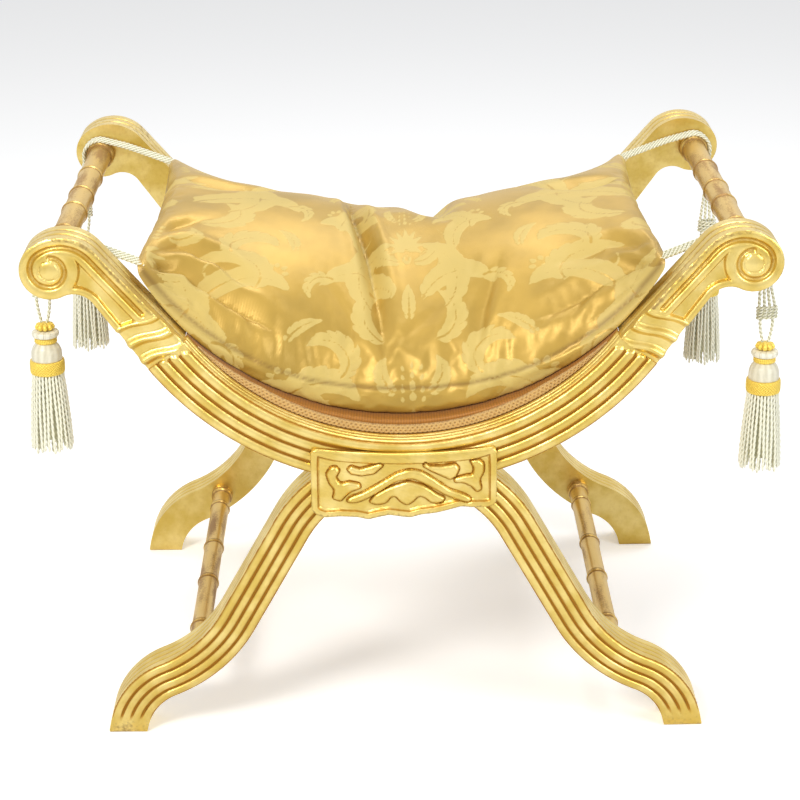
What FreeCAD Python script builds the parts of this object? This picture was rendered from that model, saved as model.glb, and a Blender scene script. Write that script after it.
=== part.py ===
import FreeCAD, Part

import math
import os

from FreeCAD import Placement, Rotation, Vector

# A gilt X-frame dressing stool. Millimetres, X across the front, Y from front to back, Z up.
# The origin is on the floor, under the middle of the stool.

# Overall
frame_depth = 470.0
frame_thickness = 41.0
joint_gap = 0.2

# Crescent seat rail: a ring sector about an axis along Y
rail_low_z = 261.0
rail_inner_radius = 252.5
rail_width = 42.5
rail_half_angle = 53.4
rail_reed_count = 4
reed_height = 2.4
reed_bevel = 2.8
top_slope = 20.0
top_rise = 2.0
gimp_land = 4.0
rabbet_depth = 12.0

# Scroll arm
volute_radius = 27.3
scroll_run = 120.0
scroll_rise = 72.5
crown_radius = 43.5
crown_turn = 50.0
throat_radius = 21.5
throat_turn = 244.4
scroll_inset = 9.0
scroll_width = 4.0
scroll_depth = 2.5
scroll_end_turn = -265.0
scroll_end_radius = 12.4
scroll_steps = 12
eye_radius = 9.0
eye_rise = 2.0
panel_bite = 1.0
panel_under_inset = 6.0
panel_ring_radius = 26.5
panel_start = 46.0
panel_depth = 3.0
collar_tilt = -20.0
collar_radius = 9.0
collar_depth = 2.5
collar_places = (13.0, 34.0)

# Leg: a band that follows arch, straight, knee, ankle and foot
leg_width = 37.0
leg_arch_centre_z = 155.0
leg_arch_radius = 124.0
leg_arch_turn = 60.8
leg_knee_radius = 141.7
leg_knee_turn = 22.3
leg_ankle_radius = 67.3
leg_ankle_turn = 78.2
ankle_height = 7.5
crotch_web_drop = 18.5
leg_reed_count = 4
leg_reed_start_turn = 18.0

# Carved plaque over the crossing
plaque_width = 176.0
plaque_top_z = 302.5
plaque_top_sag = 7.1
plaque_bottom_z = 230.0
plaque_wave = 3.2
plaque_lobe_rise = 6.0
plaque_thickness = 7.0
plaque_border = 6.0
plaque_ground_depth = 2.5
arch_half_span = 42.0
arch_foot_z = 254.0
arch_rise = 26.0
arch_band = 7.0
curl_centre_x = 60.0
curl_centre_z = 272.0
curl_radius = 11.0
curl_band = 4.5

# Turned spindles
handle_radius = 11.8
handle_collar_radius = 15.2
handle_collar_length = 22.0
handle_nodes = (-125.0, -46.0, 12.0, 88.0)
stretcher_height = 71.0
stretcher_radius = 9.8
stretcher_collar_radius = 12.0
stretcher_collar_length = 16.0
stretcher_nodes = (-150.0, -44.0, 44.0, 150.0)
node_swell = 1.2
node_width = 4.5
tenon_radius = 8.0
tenon_length = 20.0
tenon_gap = 0.1

# Dowels
arm_dowel_radius = 6.0
arm_dowel_length = 60.0
leg_dowel_radius = 5.0
leg_dowel_length = 32.0
leg_dowel_x = 30.0
dowel_end_gap = 1.0

# Upholstered seat and its gimp
slat_count = 7
slat_thickness = 11.5
slat_spacing = 3.0
seat_half_angle = 43.0
seat_cover_thickness = 1.5
seat_gap = 0.3
gimp_height = 8.4

# Loose box cushion, bent about an axis along Y
cushion_axis_rise = 45.0
cushion_flatter = 27.5
cushion_half_angle = 61.0
cushion_boxing = 28.0
cushion_corner_thickness = 8.0
cushion_crown = 104.0
cushion_end_crown = 24.0
cushion_half_depth = 198.0
cushion_ear = 6.0
cushion_side_bulge = 5.0
cushion_station_count = 13
cushion_cloth = 1.5

# Ties and tassels
strand_diameter = 3.5
strand_pitch = 5.05
strand_count = 4
cord_sides = 16
tassel_sides = 32
tip_radius = 0.6
tip_height = 1.6
tie_y = 182.0
tie_lift = 5.0
tie_sag_share = 0.56
tie_sag_slope = 0.293
wrap_gap = 0.3
swing_drop = 6.0
strand_end_gap = 0.2
bend_step = 16.0
knot_height = 15.0
knot_thickness = 8.0
knot_margin = 1.5
loop_half_spread = 6.0
loop_foot_spread = 2.4
rosette_radius = 7.5
rosette_height = 8.0
lip_radius = 13.0
neck_radius = 10.0
neck_drop = 15.0
neck_height = 5.0
bell_radius = 14.5
bell_drop = 29.0
braid_radius = 16.5
braid_drop = 37.0
braid_height = 16.0
skirt_top_radius = 15.8
skirt_foot_radius = 21.0
skirt_length = 78.0
# For each corner: how far out the knot hangs, its drop below the spindle, and the tassel's below it
tassel_places = {
    "front_left": (-2.0, 29.0, 38.0),
    "front_right": (6.0, 58.0, 37.0),
    "back_left": (5.0, 54.0, 37.0),
    "back_right": (1.0, 79.0, 37.0),
}

half_depth = frame_depth / 2
front_y = -half_depth
inner_y = front_y + frame_thickness
rail_outer_radius = rail_inner_radius + rail_width
rail_centre_z = rail_low_z + rail_outer_radius
rail_axis = Vector(0, 0, rail_centre_z)
cushion_centre_z = rail_centre_z + cushion_axis_rise
cushion_bottom_radius = rail_inner_radius + cushion_flatter
along_y = Vector(0, 1, 0)


def towards(turn):
    """The unit vector in the XZ plane at an angle, in degrees, from +X towards +Z."""
    return Vector(math.cos(math.radians(turn)), 0, math.sin(math.radians(turn)))


def turn_of(v):
    """The angle of a vector in the XZ plane, in degrees."""
    return math.degrees(math.atan2(v.z, v.x))


def on_circle(centre, radius, turn):
    """The point of a circle in the XZ plane at an angle."""
    return centre + towards(turn) * radius


def arc(centre, radius, turn_a, turn_b):
    """An arc in the XZ plane between two angles, the way the numbers run."""
    middle = (turn_a + turn_b) / 2
    points = [on_circle(centre, radius, t) for t in (turn_a, middle, turn_b)]
    return Part.Arc(*points).toShape()


def line(a, b):
    return Part.LineSegment(a, b).toShape()


def closed_face(edges):
    return Part.Face(Part.Wire(edges))


def slab(face, y_from, y_to):
    """A face of the XZ plane made into a solid between two depths."""
    moved = face.copy()
    moved.translate(Vector(0, y_from, 0))
    return moved.extrude(Vector(0, y_to - y_from, 0))


def fused(solids):
    whole = solids[0]
    if len(solids) > 1:
        whole = solids[0].multiFuse(solids[1:])
    return whole.removeSplitter()


def mirrored_x(shape):
    return shape.mirror(Vector(0, 0, 0), Vector(1, 0, 0))


def mirrored_y(shape):
    return shape.mirror(Vector(0, 0, 0), Vector(0, 1, 0))


def tangent_point(start, centre, radius, side):
    """Where the line from start touches a circle, on its left (side 1) or right (side -1)."""
    across = centre - start
    lean = math.degrees(math.asin(radius / across.Length))
    return start + towards(turn_of(across) + side * lean) * math.sqrt(
        across.Length**2 - radius**2
    )


# Key points of the arm, for the right-hand one
rail_down = rail_half_angle - 90
arm_top_start = on_circle(rail_axis, rail_inner_radius, rail_down)
volute_centre = arm_top_start + Vector(scroll_run, 0, scroll_rise)
volute_centre_x = volute_centre.x
volute_centre_z = volute_centre.z
overall_width = 2 * (volute_centre_x + volute_radius)
arm_under_start = on_circle(rail_axis, rail_outer_radius, rail_down)
crown_centre = volute_centre - towards(crown_turn) * (crown_radius - volute_radius)
crown_start = tangent_point(arm_top_start, crown_centre, crown_radius, 1)
throat_centre = volute_centre + towards(throat_turn) * (volute_radius + throat_radius)
throat_end = tangent_point(arm_under_start, throat_centre, throat_radius, 1)
arm_way = (crown_start - arm_top_start).normalize()
arm_in = (crown_centre - crown_start).normalize()


def arm_outline():
    """The arm's front outline: straight edges, crown, scroll and throat, all tangent."""
    return closed_face(
        [
            line(arm_top_start, crown_start),
            arc(crown_centre, crown_radius, turn_of(crown_start - crown_centre), crown_turn),
            arc(volute_centre, volute_radius, crown_turn, throat_turn - 360),
            arc(
                throat_centre,
                throat_radius,
                throat_turn - 180,
                turn_of(throat_end - throat_centre),
            ),
            line(throat_end, arm_under_start),
            line(arm_under_start, arm_top_start),
        ]
    )


def top_edge(inset):
    """The arm's upper edge moved inwards, from the rail joint to the top of the scroll."""
    start_turn = turn_of(crown_start - crown_centre)
    return [
        line(arm_top_start + arm_in * inset, crown_start + arm_in * inset),
        arc(crown_centre, crown_radius - inset, start_turn, crown_turn),
    ]


def ends_of(edges):
    wire = Part.Wire(edges)
    return wire.OrderedVertexes[0].Point, wire.OrderedVertexes[-1].Point


def strip_between(outer, inner):
    """The face between two rows of edges that run the same way."""
    outer_start, outer_end = ends_of(outer)
    inner_start, inner_end = ends_of(inner)
    caps = [line(outer_end, inner_end), line(inner_start, outer_start)]
    return Part.Face(Part.Wire(Part.__sortEdges__(outer + inner + caps)))


def scroll_edge(offset):
    """One side of the scroll groove: the inset edge, then a spiral into the eye."""
    inset = scroll_inset + offset
    start_radius = volute_radius - inset
    shrink = volute_radius - scroll_inset - scroll_end_radius
    points = []
    for i in range(scroll_steps + 1):
        share = float(i) / scroll_steps
        turn = crown_turn + (scroll_end_turn - crown_turn) * share
        points.append(on_circle(volute_centre, start_radius - shrink * share, turn))
    arcs = [Part.Arc(*points[i : i + 3]).toShape() for i in range(0, scroll_steps, 2)]
    return top_edge(inset) + arcs


def scroll_groove():
    return strip_between(scroll_edge(-scroll_width / 2), scroll_edge(scroll_width / 2))


def meet_circle(start, way, centre, radius):
    """The first point of a straight way that lies on a circle."""
    back = start - centre
    half = back.dot(way)
    return start + way * (-half - math.sqrt(half**2 - back.dot(back) + radius**2))


def panel_face():
    """The sunk field of the arm: collar line, upper border, scroll ring and throat."""
    collar_way = towards(collar_tilt)
    eye_depth = (volute_centre - arm_top_start).dot(arm_in)
    top_inset = eye_depth - panel_ring_radius + panel_bite
    corner = arm_top_start + arm_way * panel_start + arm_in * top_inset
    ring = meet_circle(corner, arm_way, volute_centre, panel_ring_radius)
    throat_inset = throat_radius + panel_under_inset
    span = (throat_centre - volute_centre).Length
    along = (span**2 + panel_ring_radius**2 - throat_inset**2) / (2 * span)
    lean = math.degrees(math.acos(along / panel_ring_radius))
    ring_foot = on_circle(volute_centre, panel_ring_radius, throat_turn - lean)
    under_way = (throat_end - arm_under_start).normalize()
    under_in = (throat_end - throat_centre).normalize()
    throat_foot = throat_centre + under_in * throat_inset
    under_line = arm_under_start + under_in * panel_under_inset
    gap = under_line - corner
    cross = collar_way.x * under_way.z - collar_way.z * under_way.x
    reach = (gap.x * under_way.z - gap.z * under_way.x) / cross
    low_corner = corner + collar_way * reach
    ring_turn = turn_of(ring - volute_centre) % 360
    foot_turn = turn_of(ring_foot - volute_centre) % 360
    throat_from = turn_of(ring_foot - throat_centre)
    throat_to = turn_of(throat_foot - throat_centre) % 360
    return closed_face(
        [
            line(corner, ring),
            arc(volute_centre, panel_ring_radius, ring_turn, foot_turn),
            arc(throat_centre, throat_inset, throat_from % 360, throat_to),
            line(throat_foot, low_corner),
            line(low_corner, corner),
        ]
    )


def collar_cutter(place):
    """A round cutter lying across the arm, which leaves one hollow of the collar."""
    middle = (arm_top_start + arm_under_start) * 0.5 + arm_way * place
    way = towards(collar_tilt)
    long = rail_width * 2
    y = front_y - collar_radius + collar_depth
    foot = middle - way * (long / 2) + Vector(0, y, 0)
    return Part.makeCylinder(collar_radius, long, foot, way)


def arm_dowel_place():
    foot = (arm_top_start + arm_under_start) * 0.5
    way = towards(rail_half_angle)
    start = foot - way * (arm_dowel_length / 2)
    return start + Vector(0, front_y + frame_thickness / 2, 0), way


def arm_dowel_hole():
    start, way = arm_dowel_place()
    length = arm_dowel_length + 2 * dowel_end_gap
    return Part.makeCylinder(arm_dowel_radius, length, start - way * dowel_end_gap, way)


def tenon_hole(centre):
    foot = centre + Vector(0, inner_y - tenon_length - dowel_end_gap, 0)
    deep = tenon_length + dowel_end_gap
    return Part.makeCylinder(tenon_radius + tenon_gap, deep, foot, along_y)


def right_arm():
    """One scroll arm of the front frame, with its groove, field, collar and eye."""
    body = slab(arm_outline(), front_y, inner_y)
    cutters = [slab(scroll_groove(), front_y - 1, front_y + scroll_depth)]
    cutters.append(slab(panel_face(), front_y - 1, front_y + panel_depth))
    cutters += [collar_cutter(place) for place in collar_places]
    cutters.append(arm_dowel_hole())
    cutters.append(tenon_hole(volute_centre))
    body = body.cut(cutters)
    eye_foot = volute_centre + Vector(0, front_y - eye_rise, 0)
    core = Part.makeCylinder(eye_radius, eye_rise + 1, eye_foot, along_y)
    return fused([body, core])


def reed_points(start, way, out, length, count):
    """The corners of a row of bevelled reeds that stand out from a straight way."""
    step = length / count
    points = []
    for i in range(count):
        foot = start + way * (step * i)
        points.append(foot)
        points.append(foot + way * reed_bevel + out * reed_height)
        points.append(foot + way * (step - reed_bevel) + out * reed_height)
    points.append(start + way * length)
    return points


def outline_face(points):
    """The flat face inside a closed row of straight lines."""
    return closed_face([line(a, b) for a, b in zip(points, points[1:] + points[:1])])


def seat_rail():
    """The crescent: one reeded section turned about the crescent's own axis."""
    base_y = front_y + reed_height
    front_z = rail_centre_z - rail_inner_radius
    land_z = front_z + top_rise
    low_z = rail_centre_z - rail_outer_radius
    land_y = front_y + top_slope
    wall_y = land_y + gimp_land
    floor_z = front_z - rabbet_depth
    up = Vector(0, 0, 1)
    section = reed_points(Vector(0, base_y, low_z), up, -along_y, rail_width, rail_reed_count)
    section += [
        Vector(0, land_y, land_z),
        Vector(0, wall_y, land_z),
        Vector(0, wall_y, floor_z),
        Vector(0, inner_y, floor_z),
        Vector(0, inner_y, low_z),
    ]
    face = outline_face(section)
    face.rotate(rail_axis, along_y, rail_half_angle)
    crescent = face.revolve(rail_axis, along_y, -2 * rail_half_angle)
    holes = [arm_dowel_hole(), mirrored_x(arm_dowel_hole())]
    holes += [leg_dowel_hole(side) for side in (-1, 1)]
    return crescent.cut(holes)


# Key points of the leg's middle line, for the right-hand one
arch_centre = Vector(0, 0, leg_arch_centre_z)


def leg_down(turn):
    """The way along the leg where it slopes down by an angle."""
    return towards(-turn)


def leg_out(turn):
    """The way square to the leg, towards its outer side."""
    return towards(90 - turn)


arch_end = arch_centre + leg_out(leg_arch_turn) * leg_arch_radius
knee_drop = leg_knee_radius * (
    math.cos(math.radians(leg_knee_turn)) - math.cos(math.radians(leg_arch_turn))
)
ankle_drop = leg_ankle_radius * (
    math.cos(math.radians(leg_knee_turn)) - math.cos(math.radians(leg_ankle_turn))
)
straight_drop = arch_end.z - knee_drop - ankle_drop - ankle_height
knee_start = arch_end + leg_down(leg_arch_turn) * (
    straight_drop / math.sin(math.radians(leg_arch_turn))
)
knee_centre = knee_start + leg_out(leg_arch_turn) * leg_knee_radius
knee_end = knee_centre - leg_out(leg_knee_turn) * leg_knee_radius
ankle_centre = knee_end - leg_out(leg_knee_turn) * leg_ankle_radius
ankle_end = ankle_centre + leg_out(leg_ankle_turn) * leg_ankle_radius


def leg_arch_edge(offset, turn_from):
    radius = leg_arch_radius + offset
    return arc(arch_centre, radius, 90 - turn_from, 90 - leg_arch_turn)


def leg_straight_edge(offset):
    out = leg_out(leg_arch_turn) * offset
    return line(arch_end + out, knee_start + out)


def leg_knee_edge(offset):
    radius = leg_knee_radius - offset
    return arc(knee_centre, radius, -90 - leg_arch_turn, -90 - leg_knee_turn)


def leg_ankle_edge(offset):
    radius = leg_ankle_radius + offset
    return arc(ankle_centre, radius, 90 - leg_knee_turn, 90 - leg_ankle_turn)


def leg_foot_edge(offset):
    top = ankle_end + leg_out(leg_ankle_turn) * offset
    return line(top, foot_point(offset))


def foot_point(offset):
    """Where one side of the foot meets the floor."""
    top = ankle_end + leg_out(leg_ankle_turn) * offset
    way = leg_down(leg_ankle_turn)
    return top - way * (top.z / way.z)


def leg_edges(offset, turn_from):
    """One side of the leg from the arch to the floor."""
    return [
        leg_arch_edge(offset, turn_from),
        leg_straight_edge(offset),
        leg_knee_edge(offset),
        leg_ankle_edge(offset),
        leg_foot_edge(offset),
    ]


def leg_outline():
    """The right leg up to the middle of the stool, with the block above its arch."""
    half = leg_width / 2
    arch_inner = leg_arch_radius - half
    crotch_height = leg_arch_centre_z + arch_inner - crotch_web_drop
    crotch_cos = (crotch_height - leg_arch_centre_z) / arch_inner
    crotch_turn = math.degrees(math.acos(crotch_cos))
    inner = leg_edges(-half, crotch_turn)
    outer = leg_edges(half, 0.0)
    crotch = arch_centre + leg_out(crotch_turn) * arch_inner
    middle_low = Vector(0, 0, crotch_height)
    middle_high = arch_centre + leg_out(0) * (leg_arch_radius + half)
    joins = [
        line(middle_low, crotch),
        line(foot_point(-half), foot_point(half)),
        line(middle_high, middle_low),
    ]
    return Part.Face(Part.Wire(Part.__sortEdges__(inner + outer + joins)))


def foot_outline():
    half = leg_width / 2
    inner = [leg_ankle_edge(-half), leg_foot_edge(-half)]
    outer = [leg_ankle_edge(half), leg_foot_edge(half)]
    joins = [
        line(foot_point(-half), foot_point(half)),
        line(knee_end - leg_out(leg_knee_turn) * half, knee_end + leg_out(leg_knee_turn) * half),
    ]
    return Part.Face(Part.Wire(Part.__sortEdges__(inner + outer + joins)))


def leg_reed_face(middle, turn, base_y, root):
    """The reeded section of a leg, square to its middle line."""
    out = leg_out(turn)
    start = middle - out * (leg_width / 2) + Vector(0, base_y, 0)
    points = reed_points(start, out, -along_y, leg_width, leg_reed_count)
    sunk = along_y * root
    return outline_face(points + [points[-1] + sunk, points[0] + sunk])


def leg_reeds(base_y, root):
    """The reeds down the front of a leg: arch, straight and knee."""
    arch_start = arch_centre + leg_out(leg_reed_start_turn) * leg_arch_radius
    arch = leg_reed_face(arch_start, leg_reed_start_turn, base_y, root)
    arch = arch.revolve(arch_centre, along_y, leg_arch_turn - leg_reed_start_turn)
    straight = leg_reed_face(arch_end, leg_arch_turn, base_y, root)
    straight = straight.extrude(knee_start - arch_end)
    knee = leg_reed_face(knee_start, leg_arch_turn, base_y, root)
    knee = knee.revolve(knee_centre, along_y, leg_knee_turn - leg_arch_turn)
    return [arch, straight, knee]


def leg_dowel_hole(side):
    start, way = leg_dowel_place(side)
    length = leg_dowel_length + 2 * dowel_end_gap
    return Part.makeCylinder(leg_dowel_radius, length, start - way * dowel_end_gap, way)


def leg_dowel_place(side):
    """A dowel square to the crescent's lower face, half in the rail and half in the leg."""
    turn = math.degrees(math.asin(leg_dowel_x / rail_outer_radius))
    way = towards(side * turn - 90)
    foot = rail_axis + way * (rail_outer_radius - leg_dowel_length / 2)
    return foot + Vector(0, front_y + frame_thickness / 2, 0), way


def stretcher_place():
    """The stretcher sits on the leg's middle line, in the knee."""
    cos_turn = (knee_centre.z - stretcher_height) / leg_knee_radius
    turn = math.degrees(math.acos(cos_turn))
    return knee_centre - leg_out(turn) * leg_knee_radius


def right_leg():
    base_y = front_y + reed_height
    root = joint_gap * 2
    body = slab(leg_outline(), base_y, inner_y)
    foot = slab(foot_outline(), front_y, base_y + root)
    whole = fused([body, foot] + leg_reeds(base_y, root))
    crescent = Part.makeCylinder(
        rail_outer_radius, frame_thickness + 2, rail_axis + along_y * (front_y - 1), along_y
    )
    return whole.cut([crescent, leg_dowel_hole(1), tenon_hole(stretcher_place())])


def wave_cuts(points):
    """Short straight cuts through the points of a wave."""
    return [line(a, b) for a, b in zip(points, points[1:])]


def plaque_outline(inset):
    """Straight sides, a hollow top that follows the seat, and a waved lower edge."""
    half = plaque_width / 2 - inset
    top_z = plaque_top_z - inset
    low_z = plaque_bottom_z + inset
    top_left = Vector(-half, 0, top_z)
    top_right = Vector(half, 0, top_z)
    top_middle = Vector(0, 0, top_z - plaque_top_sag)
    corner_rise = plaque_lobe_rise
    shares = (-1.0, -0.86, -0.64, -0.38, -0.16, 0.0, 0.16, 0.38, 0.64, 0.86, 1.0)
    lifts = (
        corner_rise,
        0.0,
        plaque_lobe_rise,
        -plaque_wave / 2,
        plaque_wave / 2,
        -plaque_wave / 2,
        plaque_wave / 2,
        -plaque_wave / 2,
        plaque_lobe_rise,
        0.0,
        corner_rise,
    )
    wave = [Vector(half * s, 0, low_z + lift) for s, lift in zip(shares, lifts)]
    return closed_face(
        [
            Part.Arc(top_left, top_middle, top_right).toShape(),
            line(top_right, wave[-1]),
            *wave_cuts(wave[::-1]),
            line(wave[0], top_left),
        ]
    )


def plaque_arch():
    """The bowed leaf in the middle of the plaque."""
    left = Vector(-arch_half_span, 0, arch_foot_z)
    right = Vector(arch_half_span, 0, arch_foot_z)
    crown = Vector(0, 0, arch_foot_z + arch_rise)
    low = Vector(0, 0, arch_foot_z + arch_rise - arch_band * 2)
    return closed_face([Part.Arc(left, crown, right).toShape(), Part.Arc(right, low, left).toShape()])


def plaque_curl():
    """A ring-shaped curl at one end of the plaque."""
    centre = Vector(curl_centre_x, 0, curl_centre_z)
    outer = Part.Face(Part.Wire(Part.makeCircle(curl_radius, centre, along_y)))
    inner = Part.Face(Part.Wire(Part.makeCircle(curl_radius - curl_band, centre, along_y)))
    return outer.cut(inner)


def plaque():
    """The carved plaque: a raised border round a sunk ground with its leaf and curls."""
    y_face = front_y - plaque_thickness
    y_ground = y_face + plaque_ground_depth
    board = slab(plaque_outline(0.0), y_face, front_y)
    board = board.cut(slab(plaque_outline(plaque_border), y_face - 1, y_ground))
    curl = slab(plaque_curl(), y_face, y_ground + joint_gap)
    leaf = slab(plaque_arch(), y_face, y_ground + joint_gap)
    return fused([board, leaf, curl, mirrored_x(curl)])


def spindle(centre, radius, collar_radius, collar_length, nodes):
    """A turned bamboo rod between the frames, with a tenon at each end."""
    span = -inner_y
    shoulder = span - collar_length
    half = node_width / 2
    outline = [(-span - tenon_length, 0.0), (-span - tenon_length, tenon_radius)]
    outline += [(-span, tenon_radius), (-span, collar_radius)]
    outline += [(-shoulder, collar_radius), (-shoulder, radius)]
    for y in nodes:
        ring = radius + node_swell
        outline += [(y - half, radius), (y - half, ring), (y + half, ring), (y + half, radius)]
    outline += [(shoulder, radius), (shoulder, collar_radius)]
    outline += [(span, collar_radius), (span, tenon_radius)]
    outline += [(span + tenon_length, tenon_radius), (span + tenon_length, 0.0)]
    points = [centre + Vector(0, y, r) for y, r in outline]
    return outline_face(points).revolve(centre, along_y, 360)


def dowels():
    """The hidden dowels of one frame: rail to arms, and rail to legs."""
    start, way = arm_dowel_place()
    arm = Part.makeCylinder(arm_dowel_radius, arm_dowel_length, start, way)
    solids = [arm, mirrored_x(arm)]
    for side in (-1, 1):
        start, way = leg_dowel_place(side)
        solids.append(Part.makeCylinder(leg_dowel_radius, leg_dowel_length, start, way))
    return Part.makeCompound(solids)


cushion_axis = Vector(0, 0, cushion_centre_z)


def seat_block(gap, y_half, bottom_radius, half_turn):
    """A solid between the crescent's upper face and the cushion, shrunk by a gap."""
    radius = cushion_bottom_radius + gap
    top = [on_circle(cushion_axis, radius, t - 90) for t in (-half_turn, half_turn)]
    low = [rail_axis + (p - rail_axis).normalize() * bottom_radius for p in top]
    low_turn = turn_of(top[1] - rail_axis) + 90
    face = closed_face(
        [
            arc(cushion_axis, radius, half_turn - 90, -half_turn - 90),
            line(top[0], low[0]),
            arc(rail_axis, bottom_radius, -low_turn - 90, low_turn - 90),
            line(low[1], top[1]),
        ]
    )
    return slab(face, -y_half, y_half)


def seat_end_turn(half_turn):
    """The seat's end as an angle at the crescent's axis."""
    end = on_circle(cushion_axis, cushion_bottom_radius, half_turn - 90)
    return turn_of(end - rail_axis) + 90


def seat_wall_y():
    """The depth of the rabbet's front wall, measured from the middle of the stool."""
    return half_depth - top_slope - gimp_land


def seat_cover():
    """The seat's fabric: over the padding and down to the slats at front and back."""
    y_half = seat_wall_y() - joint_gap
    low = rail_inner_radius - joint_gap
    shell = seat_block(seat_gap, y_half, low, seat_half_angle)
    hollow = seat_block(
        seat_gap + seat_cover_thickness,
        y_half - seat_cover_thickness,
        rail_inner_radius + rabbet_depth,
        seat_half_angle,
    )
    return shell.cut(hollow)


def seat_padding():
    y_half = seat_wall_y() - joint_gap - seat_cover_thickness - seat_gap
    gap = 2 * seat_gap + seat_cover_thickness
    return seat_block(gap, y_half, rail_inner_radius - joint_gap, seat_half_angle)


def ring_part(radius_in, radius_out, turn_from, turn_to, y_from, y_to):
    """A sector of a ring about the crescent's axis."""
    edges = [
        arc(rail_axis, radius_out, turn_from, turn_to),
        line(
            on_circle(rail_axis, radius_out, turn_to), on_circle(rail_axis, radius_in, turn_to)
        ),
        arc(rail_axis, radius_in, turn_to, turn_from),
        line(
            on_circle(rail_axis, radius_in, turn_from),
            on_circle(rail_axis, radius_out, turn_from),
        ),
    ]
    return slab(closed_face(edges), y_from, y_to)


def seat_slats():
    """Curved slats that span from rabbet to rabbet under the padding."""
    radius_out = rail_inner_radius + rabbet_depth - joint_gap
    radius_in = radius_out - slat_thickness
    y_half = seat_wall_y() - joint_gap
    end = seat_end_turn(seat_half_angle)
    pitch = 2 * end / slat_count
    trim = math.degrees(slat_spacing / 2 / radius_out)
    slats = []
    for i in range(slat_count):
        turn = -90 - end + pitch * i
        slats.append(
            ring_part(radius_in, radius_out, turn + trim, turn + pitch - trim, -y_half, y_half)
        )
    return Part.makeCompound(slats)


def front_gimp():
    """The braid along the seat's front edge, standing on the rail's land."""
    y_from = front_y + top_slope + joint_gap
    y_to = y_from + gimp_land - 2 * joint_gap
    radius_out = rail_inner_radius - top_rise - joint_gap
    end = seat_end_turn(seat_half_angle)
    radius_in = radius_out - gimp_height
    band = ring_part(radius_in, radius_out, -90 - end, end - 90, y_from, y_to)
    return band.common(seat_block(seat_gap, half_depth, rail_outer_radius, seat_half_angle))


def cushion_section(turn, inset):
    """A closed section of the cushion: flat under, bulged boxing, deep crown."""
    share = (turn / cushion_half_angle) ** 2
    foot = on_circle(cushion_axis, cushion_bottom_radius, turn - 90)
    up = towards(turn + 90)
    boxing = cushion_boxing + (cushion_corner_thickness - cushion_boxing) * share
    crown = cushion_crown + (cushion_end_crown - cushion_crown) * share**2 - inset
    half = cushion_half_depth + cushion_ear * share - inset
    bulge = cushion_side_bulge * boxing / cushion_boxing
    tall = boxing - 2 * inset
    foot = foot + up * inset
    seam = foot + up * tall
    low = [foot + along_y * (s * (half - bulge)) for s in (-1, 1)]
    mid = [foot + up * (tall / 2) + along_y * (s * half) for s in (-1, 1)]
    high = [seam + along_y * (s * (half - bulge)) for s in (-1, 1)]
    return Part.Wire(
        [
            line(low[0], low[1]),
            Part.Arc(low[1], mid[1], high[1]).toShape(),
            Part.Arc(high[1], seam + up * crown, high[0]).toShape(),
            Part.Arc(high[0], mid[0], low[0]).toShape(),
        ]
    )


def cushion_form(inset):
    """The whole cushion, shrunk by an inset, lofted through its sections."""
    trim = math.degrees(inset / cushion_bottom_radius)
    reach = cushion_half_angle - trim
    last = cushion_station_count - 1
    turns = [reach * (2.0 * i / last - 1) for i in range(cushion_station_count)]
    return Part.makeLoft([cushion_section(t, inset) for t in turns], True, True)


def cushion_cover():
    return cushion_form(0.0).cut(cushion_form(cushion_cloth))


def cushion_filling():
    return cushion_form(cushion_cloth + seat_gap)


strand_radius = strand_diameter / 2
wrap_radius = handle_collar_radius + strand_radius + wrap_gap
drop_x = volute_centre_x + wrap_radius
swing_z = volute_centre_z - swing_drop
tip_room = math.hypot(tip_radius, tip_height) + strand_end_gap


def bend(before, point, after, radius):
    """Where a rounded corner starts and ends, and the centre of its arc."""
    back = (before - point).normalize()
    ahead = (after - point).normalize()
    half_turn = (math.pi - back.getAngle(ahead)) / 2
    reach = radius * math.tan(half_turn)
    centre = point + (back + ahead).normalize() * (radius / math.cos(half_turn))
    return point + back * reach, point + ahead * reach, centre, 2 * half_turn


def free_radius(before, point, after):
    """The largest arc that two runs allow: 0.45 of the shorter, by half the turn."""
    back = before - point
    ahead = after - point
    half_turn = (math.pi - back.getAngle(ahead)) / 2
    return 0.45 * min(back.Length, ahead.Length) / math.tan(half_turn)


def tube(points, radii):
    """A round cord of straight runs and tangent arcs; also gives its length."""
    rings = [cord_ring(points[0], points[1] - points[0], strand_radius)]
    length = 0.0
    last = points[0]
    for i, radius in enumerate(radii):
        start, end, centre, turn = bend(points[i], points[i + 1], points[i + 2], radius)
        axis = (start - centre).cross(end - centre).normalize()
        ring = cord_ring(start, points[i + 1] - points[i], strand_radius)
        steps = math.ceil(math.degrees(turn) / bend_step)
        if (start - last).Length > 1e-3:
            rings.append(ring)
        for k in range(1, steps + 1):
            turned_ring = ring.copy()
            turned_ring.rotate(centre, axis, math.degrees(turn) * k / steps)
            rings.append(turned_ring)
        length += (start - last).Length + radius * turn
        last = end
    rings.append(cord_ring(points[-1], points[-1] - points[-2], strand_radius))
    length += (points[-1] - last).Length
    return Part.makeLoft(rings, True, True), length


def many_sided(radius, sides):
    """A closed many-sided ring about the Y axis, as wide as a circle of that radius."""
    turns = [360.0 * i / sides for i in range(sides)]
    points = [towards(turn) * radius for turn in turns]
    return Part.Wire(wave_cuts(points + points[:1]))


def cord_ring(place, way, radius):
    """A section of a cord, square to its way."""
    ring = many_sided(radius, cord_sides)
    ring.Placement = Placement(place, Rotation(along_y, way))
    return ring


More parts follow.
